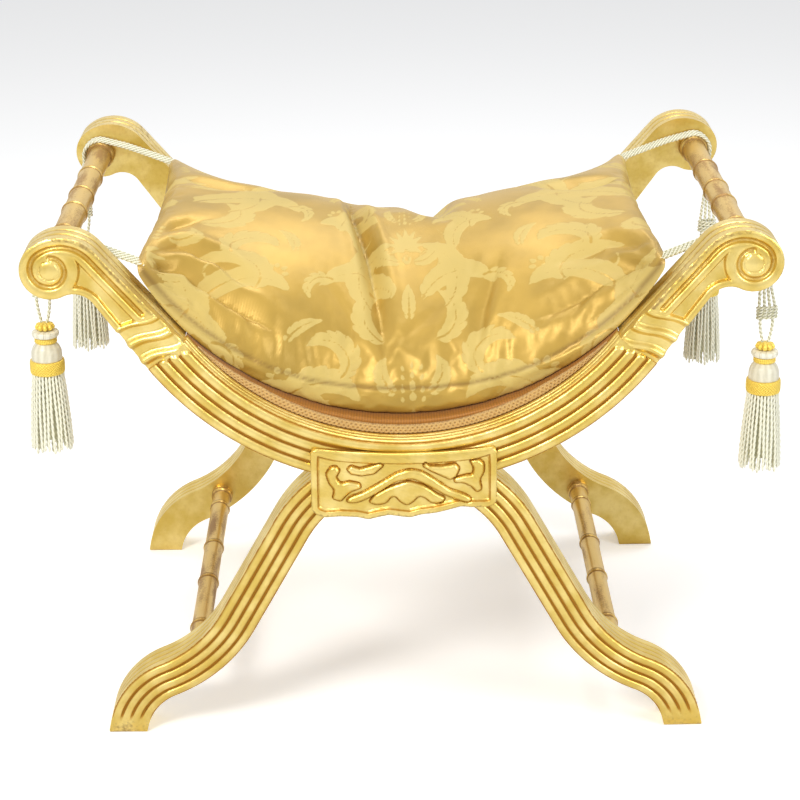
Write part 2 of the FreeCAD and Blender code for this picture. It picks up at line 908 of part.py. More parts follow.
def tie_points(y):
    """The route of one strand: cushion corner, sag, then round the spindle and down."""
    start = on_circle(
        cushion_axis, cushion_bottom_radius - tie_lift, cushion_half_angle - 90
    )
    start = Vector(start.x, y, start.z)
    sag_run = (volute_centre_x - start.x) * tie_sag_share
    sag = start + Vector(sag_run, 0, sag_run * tie_sag_slope)
    centre = Vector(volute_centre_x, y, volute_centre_z)
    touch = tangent_point(sag, centre, wrap_radius, 1)
    rise = turn_of(touch - sag)
    quarter = (rise + 90) / 4
    reach = wrap_radius * math.tan(math.radians(quarter))
    over = touch + towards(rise) * reach
    beside = Vector(drop_x, y, volute_centre_z + reach)
    end = Vector(drop_x, y, swing_z + tip_room)
    return [start, sag, over, beside, end]


def strand_ys():
    first = tie_y - strand_pitch * (strand_count - 1) / 2
    return [first + strand_pitch * i for i in range(strand_count)]


def strand_xs(knot_x):
    first = knot_x - strand_pitch * (strand_count - 1) / 2
    return [first + strand_pitch * i for i in range(strand_count)]


def tie():
    """The strands from a cushion corner to the outer side of the spindle."""
    solids = []
    for y in strand_ys():
        points = tie_points(y)
        radii = [free_radius(*points[0:3]), wrap_radius, wrap_radius]
        solid, length = tube(points, radii)
        section = cord_sides / 2.0 * math.sin(2 * math.pi / cord_sides) * strand_radius**2
        share = solid.Volume / (section * length)
        print("strand", round(length, 1), "mm, volume by section x length", round(share, 4))
        print("arc radii", [round(r, 1) for r in radii])
        solids.append(solid)
    return Part.makeCompound(solids)


def swinging_strand(start, end):
    """A short straight strand with a blunt tip above its hinge, clear of what it ends on."""
    way = (end - start).normalize()
    dip = strand_radius * math.hypot(way.x, way.y) + strand_end_gap
    end = end + way * (dip / way.z)
    rings = [
        cord_ring(start - way * tip_height, way, tip_radius),
        cord_ring(start, way, strand_radius),
        cord_ring(end, way, strand_radius),
    ]
    return Part.makeLoft(rings, True, True)


def drop(knot_x, knot_top):
    """The strands that hang from the spindle and gather at the knot."""
    solids = []
    for x, y in zip(strand_xs(knot_x), strand_ys()):
        start = Vector(drop_x, y, swing_z)
        end = Vector(x, tie_y, knot_top)
        solids.append(swinging_strand(start, end))
    return Part.makeCompound(solids)


def knot(knot_x, knot_top):
    """The wrapped knot: a flat-sided barrel round the strands."""
    half = strand_pitch * (strand_count - 1) / 2 + strand_radius + knot_margin
    radius = knot_thickness / 2
    reach = half - radius
    low = knot_top - knot_height
    centre_a = Vector(knot_x - reach, tie_y, low)
    centre_b = Vector(knot_x + reach, tie_y, low)
    side = along_y * radius
    edges = [
        line(centre_a - side, centre_b - side),
        Part.Arc(centre_b - side, centre_b + Vector(radius, 0, 0), centre_b + side).toShape(),
        line(centre_b + side, centre_a + side),
        Part.Arc(centre_a + side, centre_a - Vector(radius, 0, 0), centre_a - side).toShape(),
    ]
    return closed_face(edges).extrude(Vector(0, 0, knot_height))


def loop(x, knot_top, head_top):
    """The two strands that carry the tassel below the knot."""
    pivot_z = knot_top - knot_height - tip_room
    solids = []
    for side in (-1, 1):
        start = Vector(x + side * loop_half_spread, tie_y, pivot_z)
        end = Vector(x + side * loop_foot_spread, tie_y, head_top)
        solids.append(swinging_strand(start, end))
    return Part.makeCompound(solids)


def drum(x, top, drop_a, radius_a, drop_b, radius_b):
    """A round stretch of a tassel between two drops below its top."""
    rings = []
    for drop_z, radius in ((drop_a, radius_a), (drop_b, radius_b)):
        centre = Vector(x, tie_y, top - drop_z)
        ring = many_sided(radius, tassel_sides)
        ring.Placement = Placement(centre, Rotation(along_y, Vector(0, 0, -1)))
        rings.append(ring)
    return Part.makeLoft(rings, True, True)


def tassel_head(x, top):
    """Rosette, rolled lip, neck and bell, fused into one form."""
    waist = neck_drop + neck_height
    return fused(
        [
            drum(x, top, 0.0, rosette_radius, rosette_height, rosette_radius),
            drum(x, top, rosette_height, lip_radius, neck_drop, lip_radius),
            drum(x, top, neck_drop, neck_radius, waist, neck_radius),
            drum(x, top, waist, neck_radius, bell_drop, bell_radius),
            drum(x, top, bell_drop, bell_radius, braid_drop - joint_gap, bell_radius),
        ]
    )


def tassel_braid(x, top):
    foot = braid_drop + braid_height
    return drum(x, top, braid_drop, braid_radius, foot, braid_radius)


def tassel_skirt(x, top):
    start = braid_drop + braid_height + joint_gap
    foot = start + skirt_length
    return drum(x, top, start, skirt_top_radius, foot, skirt_foot_radius)


def placed(shape, corner):
    """A piece made for the back right corner, moved to a named corner."""
    if corner.startswith("front"):
        shape = mirrored_y(shape)
    if corner.endswith("left"):
        shape = mirrored_x(shape)
    return shape


def frame_pieces():
    """Both side frames: the back one is the front one turned to face away."""
    arm = right_arm()
    leg = right_leg()
    front = {
        "seat_rail": seat_rail(),
        "right_arm": arm,
        "left_arm": mirrored_x(arm),
        "right_leg": leg,
        "left_leg": mirrored_x(leg),
        "plaque": plaque(),
        "dowels": dowels(),
    }
    pieces = {}
    for name, shape in front.items():
        pieces["front_" + name] = shape
        pieces["back_" + name] = mirrored_y(shape)
    return pieces


def spindle_pieces():
    handle = spindle(
        volute_centre, handle_radius, handle_collar_radius, handle_collar_length, handle_nodes
    )
    stretcher = spindle(
        stretcher_place(),
        stretcher_radius,
        stretcher_collar_radius,
        stretcher_collar_length,
        stretcher_nodes,
    )
    return {
        "right_handle": handle,
        "left_handle": mirrored_x(handle),
        "right_stretcher": stretcher,
        "left_stretcher": mirrored_x(stretcher),
    }


def seat_pieces():
    gimp = front_gimp()
    return {
        "seat_slats": seat_slats(),
        "seat_padding": seat_padding(),
        "seat_cover": seat_cover(),
        "front_gimp": gimp,
        "back_gimp": mirrored_y(gimp),
        "cushion_cover": cushion_cover(),
        "cushion_filling": cushion_filling(),
    }


def tassel_pieces():
    strands = tie()
    pieces = {}
    for corner, (out, knot_drop, head_drop) in tassel_places.items():
        x = drop_x + out
        knot_top = volute_centre_z - knot_drop
        head_top = knot_top - head_drop
        parts = {
            "tie": strands,
            "drop": drop(x, knot_top),
            "knot": knot(x, knot_top),
            "loop": loop(x, knot_top, head_top),
            "tassel_head": tassel_head(x, head_top),
            "tassel_braid": tassel_braid(x, head_top),
            "tassel_skirt": tassel_skirt(x, head_top),
        }
        for name, shape in parts.items():
            pieces[corner + "_" + name] = placed(shape, corner)
    return pieces


def main():
    os.makedirs("parts", exist_ok=True)
    pieces = {}
    pieces.update(frame_pieces())
    pieces.update(spindle_pieces())
    pieces.update(seat_pieces())
    pieces.update(tassel_pieces())
    print("overall width", round(overall_width, 1), "mm")
    for name, shape in sorted(pieces.items()):
        solids = shape.Solids
        print(name, len(solids), "solids", round(shape.Volume), shape.isValid())
        shape.exportStep("parts/%s.step" % name)


main()
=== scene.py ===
import logging
import math
from dataclasses import dataclass, field
from enum import Enum
from typing import Any, Sequence

import bmesh
import bpy
import numpy as np
from mathutils import Matrix, Vector


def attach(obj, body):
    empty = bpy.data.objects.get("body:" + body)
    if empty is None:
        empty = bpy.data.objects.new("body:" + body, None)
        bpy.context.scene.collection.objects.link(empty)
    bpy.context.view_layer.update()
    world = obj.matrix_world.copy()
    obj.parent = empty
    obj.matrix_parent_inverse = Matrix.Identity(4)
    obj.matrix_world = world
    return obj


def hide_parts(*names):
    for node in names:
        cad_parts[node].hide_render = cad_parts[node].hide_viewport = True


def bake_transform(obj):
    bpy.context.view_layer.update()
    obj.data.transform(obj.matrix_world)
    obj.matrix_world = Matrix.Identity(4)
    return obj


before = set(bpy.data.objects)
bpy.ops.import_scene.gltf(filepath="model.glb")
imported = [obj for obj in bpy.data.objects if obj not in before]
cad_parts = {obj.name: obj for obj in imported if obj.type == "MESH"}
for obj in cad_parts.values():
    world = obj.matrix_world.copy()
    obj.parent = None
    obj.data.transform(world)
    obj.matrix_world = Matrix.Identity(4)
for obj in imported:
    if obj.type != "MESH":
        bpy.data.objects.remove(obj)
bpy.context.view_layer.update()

log = logging.getLogger("stool")
MM = 0.001
MERGED = 0.004 * MM
DEGENERATE = 0.001 * MM

Number = float | int
Array = np.ndarray


# Small functions on whole arrays.


def towards(turn: Array | float) -> Array:
    """The unit vector in the XZ plane at an angle, in degrees, from +X towards +Z."""
    angle = np.radians(turn)
    return np.stack([np.cos(angle), np.sin(angle)], -1)


def unit(v: Array) -> Array:
    """The vector of length 1 that points the same way."""
    return v / np.linalg.norm(v)


def weights(count: int) -> Array:
    """Smoothing weights that rise and fall like a bell and add up to 1."""
    bell = np.hanning(count)
    return bell / bell.sum()


def swell(x: Array) -> Array:
    """A half-round profile: the square root of 1 - x squared, and 0 beyond x = 1."""
    return np.sqrt(np.clip(1.0 - np.square(x), 0.0, 1.0))


def ease(low: float, high: float, x: Array) -> Array:
    """A smooth step from 0 at low to 1 at high."""
    share = np.clip((x - low) / (high - low), 0.0, 1.0)
    return share * share * (3.0 - 2.0 * share)


def waver(x: Array, size: float, seed: float) -> Array:
    """A slow uneven wave between about -1 and 1: three sines of unlike lengths, in mm."""
    return (
        np.sin(2 * np.pi * x / size + 1.7 * seed)
        + 0.6 * np.sin(2 * np.pi * x / (size * 0.43) + 4.1 * seed)
        + 0.4 * np.sin(2 * np.pi * x / (size * 0.19) + 2.3 * seed)
    ) / 2.0


def arc(centre: Array, radius: float, turn_a: float, turn_b: float, count: int) -> Array:
    """Points of a circle between two angles, the way the numbers run."""
    return centre + radius * towards(np.linspace(turn_a, turn_b, count))


def straight(a: Array, b: Array, count: int) -> Array:
    """Points of the line from a to b."""
    share = np.linspace(0.0, 1.0, count)[:, None]
    return a * (1 - share) + b * share


def resampled(line: Array, count: int) -> Array:
    """The same line with its points spread evenly by length."""
    steps = np.linalg.norm(np.diff(line, axis=0), axis=1)
    keep = np.concatenate([[True], steps > 1e-9])
    line = line[keep]
    along = np.concatenate([[0.0], np.cumsum(np.linalg.norm(np.diff(line, axis=0), axis=1))])
    wanted = np.linspace(0.0, along[-1], count)
    return np.stack([np.interp(wanted, along, line[:, k]) for k in range(line.shape[1])], -1)


def nearest(points: Array, line: Array) -> tuple[Array, Array]:
    """The distance from each point to the nearest point of a finely cut line, and its index."""
    flat = points.reshape(-1, points.shape[-1])
    distance = np.empty(len(flat))
    index = np.empty(len(flat), int)
    for start in range(0, len(flat), 6000):
        part = flat[start : start + 6000]
        gaps = np.linalg.norm(part[:, None, :] - line[None, :, :], axis=2)
        index[start : start + 6000] = gaps.argmin(1)
        distance[start : start + 6000] = gaps.min(1)
    return distance.reshape(points.shape[:-1]), index.reshape(points.shape[:-1])


def inside(points: Array, outline: Array) -> Array:
    """Whether each point lies in a closed outline: an odd number of edges lies to its right."""
    x, z = points[..., 0], points[..., 1]
    result = np.zeros(x.shape, bool)
    for a, b in zip(outline, np.roll(outline, -1, axis=0)):
        crosses = (a[1] > z) != (b[1] > z)
        rise = b[1] - a[1] if b[1] != a[1] else 1e-9
        result ^= crosses & (x < (b[0] - a[0]) * (z - a[1]) / rise + a[0])
    return result


def tangent_point(start: Array, centre: Array, radius: float, side: int) -> Array:
    """Where the line from start touches a circle, on its left (side 1) or right (side -1)."""
    across = centre - start
    length = np.linalg.norm(across)
    lean = math.degrees(math.asin(radius / length))
    turn = turn_of(across) + side * lean
    return start + towards(turn) * math.sqrt(length**2 - radius**2)


def turn_of(v: Array) -> float:
    """The angle of a vector in the XZ plane, in degrees."""
    return math.degrees(math.atan2(v[1], v[0]))


def joined(*parts: Array | float) -> Array:
    """Points from their separate coordinates, which are first made the same shape."""
    return np.stack(np.broadcast_arrays(*parts), -1)


def raised(flat: Array, y: Array | float) -> Array:
    """Points of the XZ plane set at a depth y."""
    return joined(flat[..., 0], y, flat[..., 1])


def revolved(radius: Array, turn: Array, height: Array) -> Array:
    """Points about the Z axis at a radius, an angle in radians and a height."""
    return joined(radius * np.cos(turn), radius * np.sin(turn), height)


def bell_curve(gap: Array, half: float) -> Array:
    """1 where the gap is 0, falling smoothly to nothing past a few times half."""
    return np.exp(-((gap / half) ** 2))


def reed_shares(reeds: int, cuts: int) -> Array:
    """Shares of a width, in one row, with the same cuts in every reed and none given twice."""
    cut = np.linspace(0, 1, cuts)
    parts = [(i + cut[: cuts if i == reeds - 1 else -1]) / reeds for i in range(reeds)]
    return np.concatenate(parts)[None, :]


def across_reed(share: Array, reeds: int) -> Array:
    """Where each share lies across its own reed, from -1 to 1."""
    return 2 * ((share * reeds) % 1.0) - 1


# Meshes.


def linked(name: str, data: Any) -> bpy.types.Object:
    """A new object with that data, in the scene."""
    thing = bpy.data.objects.new(name, data)
    bpy.context.scene.collection.objects.link(thing)
    return thing


def coordinates(mesh: bpy.types.Mesh) -> Array:
    """The places of a mesh's vertices, in metres."""
    flat = np.empty(len(mesh.vertices) * 3, np.float32)
    mesh.vertices.foreach_get("co", flat)
    return flat.reshape(-1, 3).astype(float)


def move(mesh: bpy.types.Mesh, points: Array) -> None:
    """Sets the places of a mesh's vertices, in metres."""
    mesh.vertices.foreach_set("co", points.astype(np.float32).ravel())
    mesh.update()


def carry(mesh: bpy.types.Mesh, name: str, values: Array) -> None:
    """Gives a mesh one number for each vertex, for its shader to read."""
    attribute = mesh.attributes.new(name, "FLOAT", "POINT")
    attribute.data.foreach_set("value", values.astype(np.float32))


@dataclass
class Surface:
    """One closed surface gathered from grids of points, in millimetres."""

    points: list[Array] = field(default_factory=list)
    quads: list[Array] = field(default_factory=list)
    places: list[Array] = field(default_factory=list)
    values: dict[str, list[Array]] = field(default_factory=dict)
    total: int = 0

    def grid(self, points: Array, uv: Array | None = None, **values: Array | float) -> None:
        """Adds a grid of points, rows by columns.

        Args:
            points: Rows x columns x 3 coordinates in millimetres.
            uv: Rows x columns x 2 pattern coordinates.
            values: Named numbers per point, such as recess or wear.
        """
        rows, cols = points.shape[:2]
        index = np.arange(rows * cols).reshape(rows, cols) + self.total
        quads = np.stack([index[:-1, :-1], index[1:, :-1], index[1:, 1:], index[:-1, 1:]], -1)
        self.points.append(points.reshape(-1, 3))
        self.quads.append(quads.reshape(-1, 4))
        flat_uv = np.zeros((rows * cols, 2)) if uv is None else uv.reshape(-1, 2)
        self.places.append(flat_uv)
        for name in {**self.values, **values}:
            column = self.values.setdefault(name, [np.zeros(self.total)] if self.total else [])
            given = np.broadcast_to(values.get(name, 0.0), (rows, cols)).astype(float)
            column.append(given.reshape(-1))
        self.total += rows * cols

    def cap(self, loop: Array, **values: float) -> None:
        """Closes a ring of points with a fan to its middle."""
        middle = np.broadcast_to(loop.mean(0), loop.shape)
        half = (loop + middle) / 2
        self.grid(np.stack([loop, half, middle]), **values)

    def close(self, grid: Array, **values: float) -> None:
        """Closes the first and the last ring of a grid."""
        for ring in (grid[0], grid[-1]):
            self.cap(ring, **values)

    def tube(self, path: Array, rings: Array, **values: Any) -> None:
        """Adds a ring at each point of a path and closes both ends.

        Args:
            path: Count x 3 points.
            rings: Count x sides x 3 offsets from the path.
            values: Named numbers per point.
        """
        skin = path[:, None, :] + rings
        skin = np.concatenate([skin, skin[:, :1]], axis=1)
        self.grid(skin, **values)
        self.close(skin)

    def make(self, name: str, sharp: float = 38.0) -> bpy.types.Object:
        """Builds the mesh: merges shared points, turns faces outwards, keeps sharp edges.

        Args:
            name: The piece's name.
            sharp: The angle, in degrees, past which an edge stays sharp.

        Returns:
            The linked object, at the origin.
        """
        points = np.concatenate(self.points) * MM
        quads = np.concatenate(self.quads)
        mesh = bpy.data.meshes.new(name)
        mesh.vertices.add(len(points))
        mesh.vertices.foreach_set("co", points.astype(np.float32).ravel())
        mesh.loops.add(quads.size)
        mesh.loops.foreach_set("vertex_index", quads.astype(np.int32).ravel())
        mesh.polygons.add(len(quads))
        mesh.polygons.foreach_set("loop_start", np.arange(0, quads.size, 4, dtype=np.int32))
        mesh.update(calc_edges=True)
        uv = np.concatenate(self.places)[quads.ravel()]
        mesh.uv_layers.new(name="UVMap").data.foreach_set("uv", uv.astype(np.float32).ravel())
        for key, columns in self.values.items():
            carry(mesh, key, np.concatenate(columns))
        body = bmesh.new()
        body.from_mesh(mesh)
        bmesh.ops.remove_doubles(body, verts=body.verts, dist=MERGED)
        bmesh.ops.dissolve_degenerate(body, edges=body.edges, dist=DEGENERATE)
        bmesh.ops.recalc_face_normals(body, faces=body.faces)
        body.to_mesh(mesh)
        body.free()
        mesh.polygons.foreach_set("use_smooth", np.ones(len(mesh.polygons), bool))
        mesh.set_sharp_from_angle(angle=math.radians(sharp))
        return linked(name, mesh)


def copied(
    piece: bpy.types.Object, name: str, flip: Sequence[int] = (1, 1, 1), shift: Any = (0, 0, 0)
) -> bpy.types.Object:
    """A copy of a piece with its mesh mirrored and moved, its faces still outwards."""
    mesh = piece.data.copy()
    mesh.name = name
    points = (coordinates(mesh) + np.array(shift) * MM) * np.array(flip)
    mesh.vertices.foreach_set("co", points.astype(np.float32).ravel())
    if np.prod(flip) < 0:
        mesh.flip_normals()
    mesh.update()
    return linked(name, mesh)


def placed(
    piece: bpy.types.Object,
    finish: bpy.types.Material,
    body: str | None,
    nodes: Sequence[str] = (),
) -> bpy.types.Object:
    """Gives a piece its material, its body and the CAD nodes it stands for."""
    piece.data.materials.clear()
    piece.data.materials.append(finish)
    if nodes:
        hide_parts(*nodes)
    if body:
        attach(piece, body)
    log.info("%s: %d faces", piece.name, len(piece.data.polygons))
    return piece


# Shaders.


def linear(red: float, green: float, blue: float) -> tuple[float, float, float, float]:
    """A colour as it is seen, 0 to 255, in the linear values that the shader takes."""
    tones = [c / 255.0 for c in (red, green, blue)]
    tones = [c / 12.92 if c <= 0.04045 else ((c + 0.055) / 1.055) ** 2.4 for c in tones]
    return (tones[0], tones[1], tones[2], 1.0)


class Wire:
    """A socket in a shader, with arithmetic that adds Math nodes."""

    def __init__(self, shader: "Shader", socket: bpy.types.NodeSocket) -> None:
        """Keeps the socket and the shader that it belongs to."""
        self.shader = shader
        self.socket = socket

    def apply(self, operation: str, *others: "Wire | Number", swap: bool = False) -> "Wire":
        """One Math node on this value and others; swap puts this value second."""
        values = [self, *others]
        if swap:
            values.reverse()
        inputs = dict(enumerate(values))
        return self.shader.node("ShaderNodeMath", {"operation": operation}, inputs)

    def __add__(self, other: "Wire | Number") -> "Wire":
        """This value plus another."""
        return self.apply("ADD", other)

    __radd__ = __add__

    def __sub__(self, other: "Wire | Number") -> "Wire":
        """This value less another."""
        return self.apply("SUBTRACT", other)

    def __rsub__(self, other: Number) -> "Wire":
        """A number less this value."""
        return self.apply("SUBTRACT", other, swap=True)

    def __mul__(self, other: "Wire | Number") -> "Wire":
        """This value times another."""
        return self.apply("MULTIPLY", other)

    __rmul__ = __mul__

    def sine(self) -> "Wire":
        """The sine of this value, in radians."""
        return self.apply("SINE")

    def step(self, low: float, high: float) -> "Wire":
        """A smooth step from 0 at low to 1 at high."""
        settings = {"interpolation_type": "SMOOTHSTEP"}
        return self.shader.node(
            "ShaderNodeMapRange", settings, {"Value": self, "From Min": low, "From Max": high}
        )

    def part(self, name: str) -> "Wire":
        """The X, Y or Z of a vector."""
        return self.shader.node("ShaderNodeSeparateXYZ", {}, {0: self}, name)


class Shader:
    """One procedural material round a Principled shader."""

    def __init__(self, name: str) -> None:
        """Starts an empty material of that name."""
        self.material = bpy.data.materials.new(name)
        self.material.use_nodes = True
        self.tree = self.material.node_tree
        self.tree.nodes.clear()
        self.principled = self.tree.nodes.new("ShaderNodeBsdfPrincipled")
        output = self.tree.nodes.new("ShaderNodeOutputMaterial")
        self.tree.links.new(self.principled.outputs[0], output.inputs["Surface"])

    def node(
        self,
        kind: str,
        settings: dict[str, Any] | None = None,
        inputs: dict[Any, Any] | None = None,
        output: str | int = 0,
    ) -> Wire:
        """Adds a node: its settings first, then the values or links of its sockets.

        Args:
            kind: The node's type.
            settings: The node's own settings.
            inputs: A number, colour or Wire for each socket, by name or place.
            output: The output that the Wire stands for.

        Returns:
            A Wire on that output.
        """
        node = self.tree.nodes.new(kind)
        for key, value in (settings or {}).items():
            setattr(node, key, value)
        for key, value in (inputs or {}).items():
            if isinstance(value, Wire):
                self.tree.links.new(value.socket, node.inputs[key])
            else:
                node.inputs[key].default_value = value
        return Wire(self, node.outputs[output])

    def place(self) -> Wire:
        """The point's place on the object, in metres."""
        return self.node("ShaderNodeTexCoord", output="Object")

    def uv(self) -> Wire:
        """The piece's own pattern coordinates."""
        return self.node("ShaderNodeUVMap", {"uv_map": "UVMap"})

    def value(self, name: str) -> Wire:
        """A number that the mesh carries, such as recess or wear."""
        return self.node("ShaderNodeAttribute", {"attribute_name": name}, output="Fac")

    def noise(self, size: float, detail: float = 3.0, at: Wire | None = None) -> Wire:
        """Soft noise with grains of about that size, in metres, from 0 to 1."""
        return self.node(
            "ShaderNodeTexNoise",
            {},
            {"Vector": at or self.place(), "Scale": 1.0 / size, "Detail": detail},
        )

    def stretched(self, scale: Sequence[float], at: Wire | None = None) -> Wire:
        """The place scaled by axis, for a grain that runs one way."""
        return self.node(
            "ShaderNodeVectorMath", {"operation": "MULTIPLY"}, {0: at or self.place(), 1: scale}
        )

    def mixed(self, share: Wire | float, first: Any, second: Any) -> Wire:
        """The first colour, going to the second as the share goes from 0 to 1."""
        return self.node(
            "ShaderNodeMix", {"data_type": "RGBA"}, {0: share, 6: first, 7: second}, 2
        )

    def bump(self, height: Wire, depth: float, strength: float = 1.0) -> Wire:
        """A normal from a height that runs from 0 to 1 over a depth in metres."""
        return self.node(
            "ShaderNodeBump", {}, {"Height": height, "Distance": depth, "Strength": strength}
        )

    def finished(self, **sockets: Any) -> bpy.types.Material:
        """Sets the Principled shader's sockets; underscores stand for spaces."""
        for key, value in sockets.items():
            socket = self.principled.inputs[key.replace("_", " ")]
            if isinstance(value, Wire):
                self.tree.links.new(value.socket, socket)
            else:
                socket.default_value = value
        return self.material


@dataclass(frozen=True)
class GoldLeaf:
    """Burnished leaf over ochre clay: bright on the tops, ochre clay with painted shade in the
    hollows, rubbed brown.
    """

    name: str = "gold_leaf"
    leaf: tuple[float, ...] = linear(216, 186, 94)
    pale: tuple[float, ...] = linear(238, 214, 136)
    clay_and_shade: tuple[float, ...] = linear(176, 124, 36)
    rubbed: tuple[float, ...] = linear(138, 106, 50)

    def make(self) -> bpy.types.Material:
        """Builds the material from the mesh's recess and wear values and fine noise; the recess
        paints shade over the ochre of the hollows.
        """
        shader = Shader(self.name)
        recess = shader.value("recess")
        wear = shader.value("wear")
        cloud = shader.noise(0.03, 4.0)
        grain = shader.noise(0.0035, 5.0)
        fine = shader.noise(0.0009, 3.0)
        # Partly real, partly painted shade: the recess value mixes in the ochre clay colour that
        # the hollows show, and more of it where the mesh marks depth, creases, backs and
        # undersides.
        hollow = (recess + (grain - 0.5) * 0.5).step(0.25, 0.95)
        bare = (wear + (grain - 0.5) * 0.9 + (cloud - 0.5) * 0.8).step(0.5, 0.95)
        colour = shader.mixed(cloud.step(0.35, 0.7), self.leaf, self.pale)
        colour = shader.mixed(hollow, colour, self.clay_and_shade)
        colour = shader.mixed(bare * 0.85, colour, self.rubbed)
        rough = 0.24 + grain * 0.14 + hollow * 0.14 + bare * 0.2
        height = cloud * 0.4 + grain * 0.45 + fine * 0.15
        return shader.finished(
            Base_Color=colour,
            Metallic=0.92 - bare * 0.75 - hollow * 0.25,
            Roughness=rough,
            Normal=shader.bump(height, 0.0009, 0.6),
        )


@dataclass(frozen=True)
class RubbedBronze:
    """Brown painted turnings with gold rubbed through along the grain."""

    name: str = "rubbed_bronze"
    paint: tuple[float, ...] = linear(158, 118, 56)
    gold: tuple[float, ...] = linear(218, 184, 106)

    def make(self) -> bpy.types.Material:
        """Builds the material: streaks of gold run along the rod."""
        shader = Shader(self.name)
        streak = shader.noise(0.012, 4.0, shader.stretched((1.0, 0.16, 1.0)))
        grain = shader.noise(0.002, 4.0)
        gold = (streak + (grain - 0.5) * 0.35 - shader.value("recess") * 0.4).step(0.3, 0.55)
        colour = shader.mixed(gold, self.paint, self.gold)
        return shader.finished(
            Base_Color=colour,
            Metallic=0.35 + gold * 0.5,
            Roughness=0.5 - gold * 0.16,
            Normal=shader.bump(grain * 0.5 + streak * 0.5, 0.0004, 0.5),
        )


@dataclass(frozen=True)
class BareWood:
    """Unfinished beech with fine grain along one axis."""

    name: str = "bare_wood"
    light: tuple[float, ...] = linear(205, 176, 134)
    dark: tuple[float, ...] = linear(160, 124, 82)

    def make(self) -> bpy.types.Material:
        """Builds the material: long rings and short flecks."""
        shader = Shader(self.name)
        ring = shader.noise(0.02, 5.0, shader.stretched((1.0, 0.12, 1.0)))
        fleck = shader.noise(0.0012, 2.0, shader.stretched((1.0, 0.2, 1.0)))
        colour = shader.mixed((ring * 0.7 + fleck * 0.3).step(0.35, 0.7), self.light, self.dark)
        return shader.finished(
            Base_Color=colour, Roughness=0.62, Normal=shader.bump(fleck, 0.0002, 0.5)
        )


@dataclass(frozen=True)
class Damask:
    """Gold silk damask: a satin ground and a paler leaf pattern, with a fine twill."""

    name: str = "gold_damask"
    ground: tuple[float, ...] = linear(192, 156, 68)
    leaf: tuple[float, ...] = linear(214, 192, 114)
    shade: tuple[float, ...] = linear(170, 138, 56)
    # thread: the dark brown of the painted shade along the sunk seam
    thread: tuple[float, ...] = linear(112, 78, 28)

    def make(self) -> bpy.types.Material:
        """Builds the material: the mesh carries the distance to the nearest leaf's edge."""
        shader = Shader(self.name)
        edge = shader.value("leaf_edge")
        seam = shader.value("seam_shade")
        grain = shader.noise(0.0016, 4.0)
        leafy = (edge + (grain - 0.5) * 0.7).step(0.35, -0.45)
        cloud = shader.noise(0.05, 3.0)
        uv = shader.uv()
        across = uv.part("X")
        along = uv.part("Y")
        twill = ((across * 5200.0 + along * 3100.0).sine() * 0.5 + 0.5) * (1.0 - leafy)
        cross = ((along * 5600.0).sine() * 0.5 + 0.5) * leafy
        ground = shader.mixed(cloud.step(0.3, 0.75), self.ground, self.shade)
        colour = shader.mixed(leafy * 0.6, ground, self.leaf)
        # Painted shade: a dark brown band along the sunk seam between the top and the boxing.
        colour = shader.mixed(seam * 0.6, colour, self.thread)
        return shader.finished(
            Base_Color=colour,
            Roughness=0.36 + leafy * 0.16 + grain * 0.05,
            Metallic=0.1 + (1.0 - leafy) * 0.2,
            Normal=shader.bump(twill * 0.25 + cross * 0.3 + leafy * 0.6, 0.0003, 0.6),
            Sheen_Weight=0.12,
            Sheen_Roughness=0.4,
            Sheen_Tint=linear(250, 226, 160),
        )


@dataclass(frozen=True)
class Silk:
    """A plain woven or twisted silk: threads follow the piece's own coordinates."""

    name: str
    light: tuple[float, ...]
    dark: tuple[float, ...]
    threads: float = 2600.0
    lean: float = 0.0
    rough: float = 0.45
    metal: float = 0.0
    depth: float = 0.0002

    def make(self) -> bpy.types.Material:
        """Builds the material: fine threads, broken up by noise, with painted shade in the hollows.
        """
        shader = Shader(self.name)
        uv = shader.uv()
        thread = ((uv.part("X") * self.threads + uv.part("Y") * self.lean).sine() * 0.5) + 0.5
        grain = shader.noise(0.0018, 4.0)
        cloud = shader.noise(0.02, 3.0)
        # Painted shade: the recess value darkens the hollows between plies and plaits, inner parts
        # and backs.
        hollow = shader.value("recess")
        share = (thread * 0.3 + grain * 0.3 + cloud * 0.2 + hollow * 0.7).step(0.35, 1.25)
        return shader.finished(
            Base_Color=shader.mixed(share, self.light, self.dark),
            Roughness=self.rough + grain * 0.1,
            Metallic=self.metal,
            Normal=shader.bump(thread * 0.6 + grain * 0.4, self.depth, 0.7),
            Sheen_Weight=0.25,
            Sheen_Roughness=0.4,
        )


class Finish(Enum):
    """The finishes of the stool, each built once."""

    GILT = GoldLeaf()
    BRONZE = RubbedBronze()
    WOOD = BareWood()
    DAMASK = Damask()
    SEAT = Silk(
        "orange_seat_silk", linear(172, 112, 36), linear(104, 62, 18), 2400.0, 0.0, 0.45, 0.15
    )
    GIMP = Silk("beige_gimp", linear(214, 176, 112), linear(150, 108, 58), 5200.0, 900.0, 0.6)
    CORD = Silk("cream_cord", linear(240, 238, 218), linear(176, 172, 128), 3800.0, 700.0, 0.5)
    IVORY = Silk("ivory_satin", linear(238, 234, 214), linear(196, 188, 160), 900.0, 0.0, 0.28)
    GOLD_THREAD = Silk(
        "yellow_thread", linear(248, 218, 92), linear(196, 150, 44), 1800.0, 1800.0, 0.35, 0.2
    )
    BULLION = Silk("bullion", linear(242, 240, 220), linear(200, 196, 158), 3600.0, 1500.0, 0.4)

    @property
    def material(self) -> bpy.types.Material:
        """The finish's material, made the first time that it is asked for."""
        return bpy.data.materials.get(self.value.name) or self.value.make()


# The room.


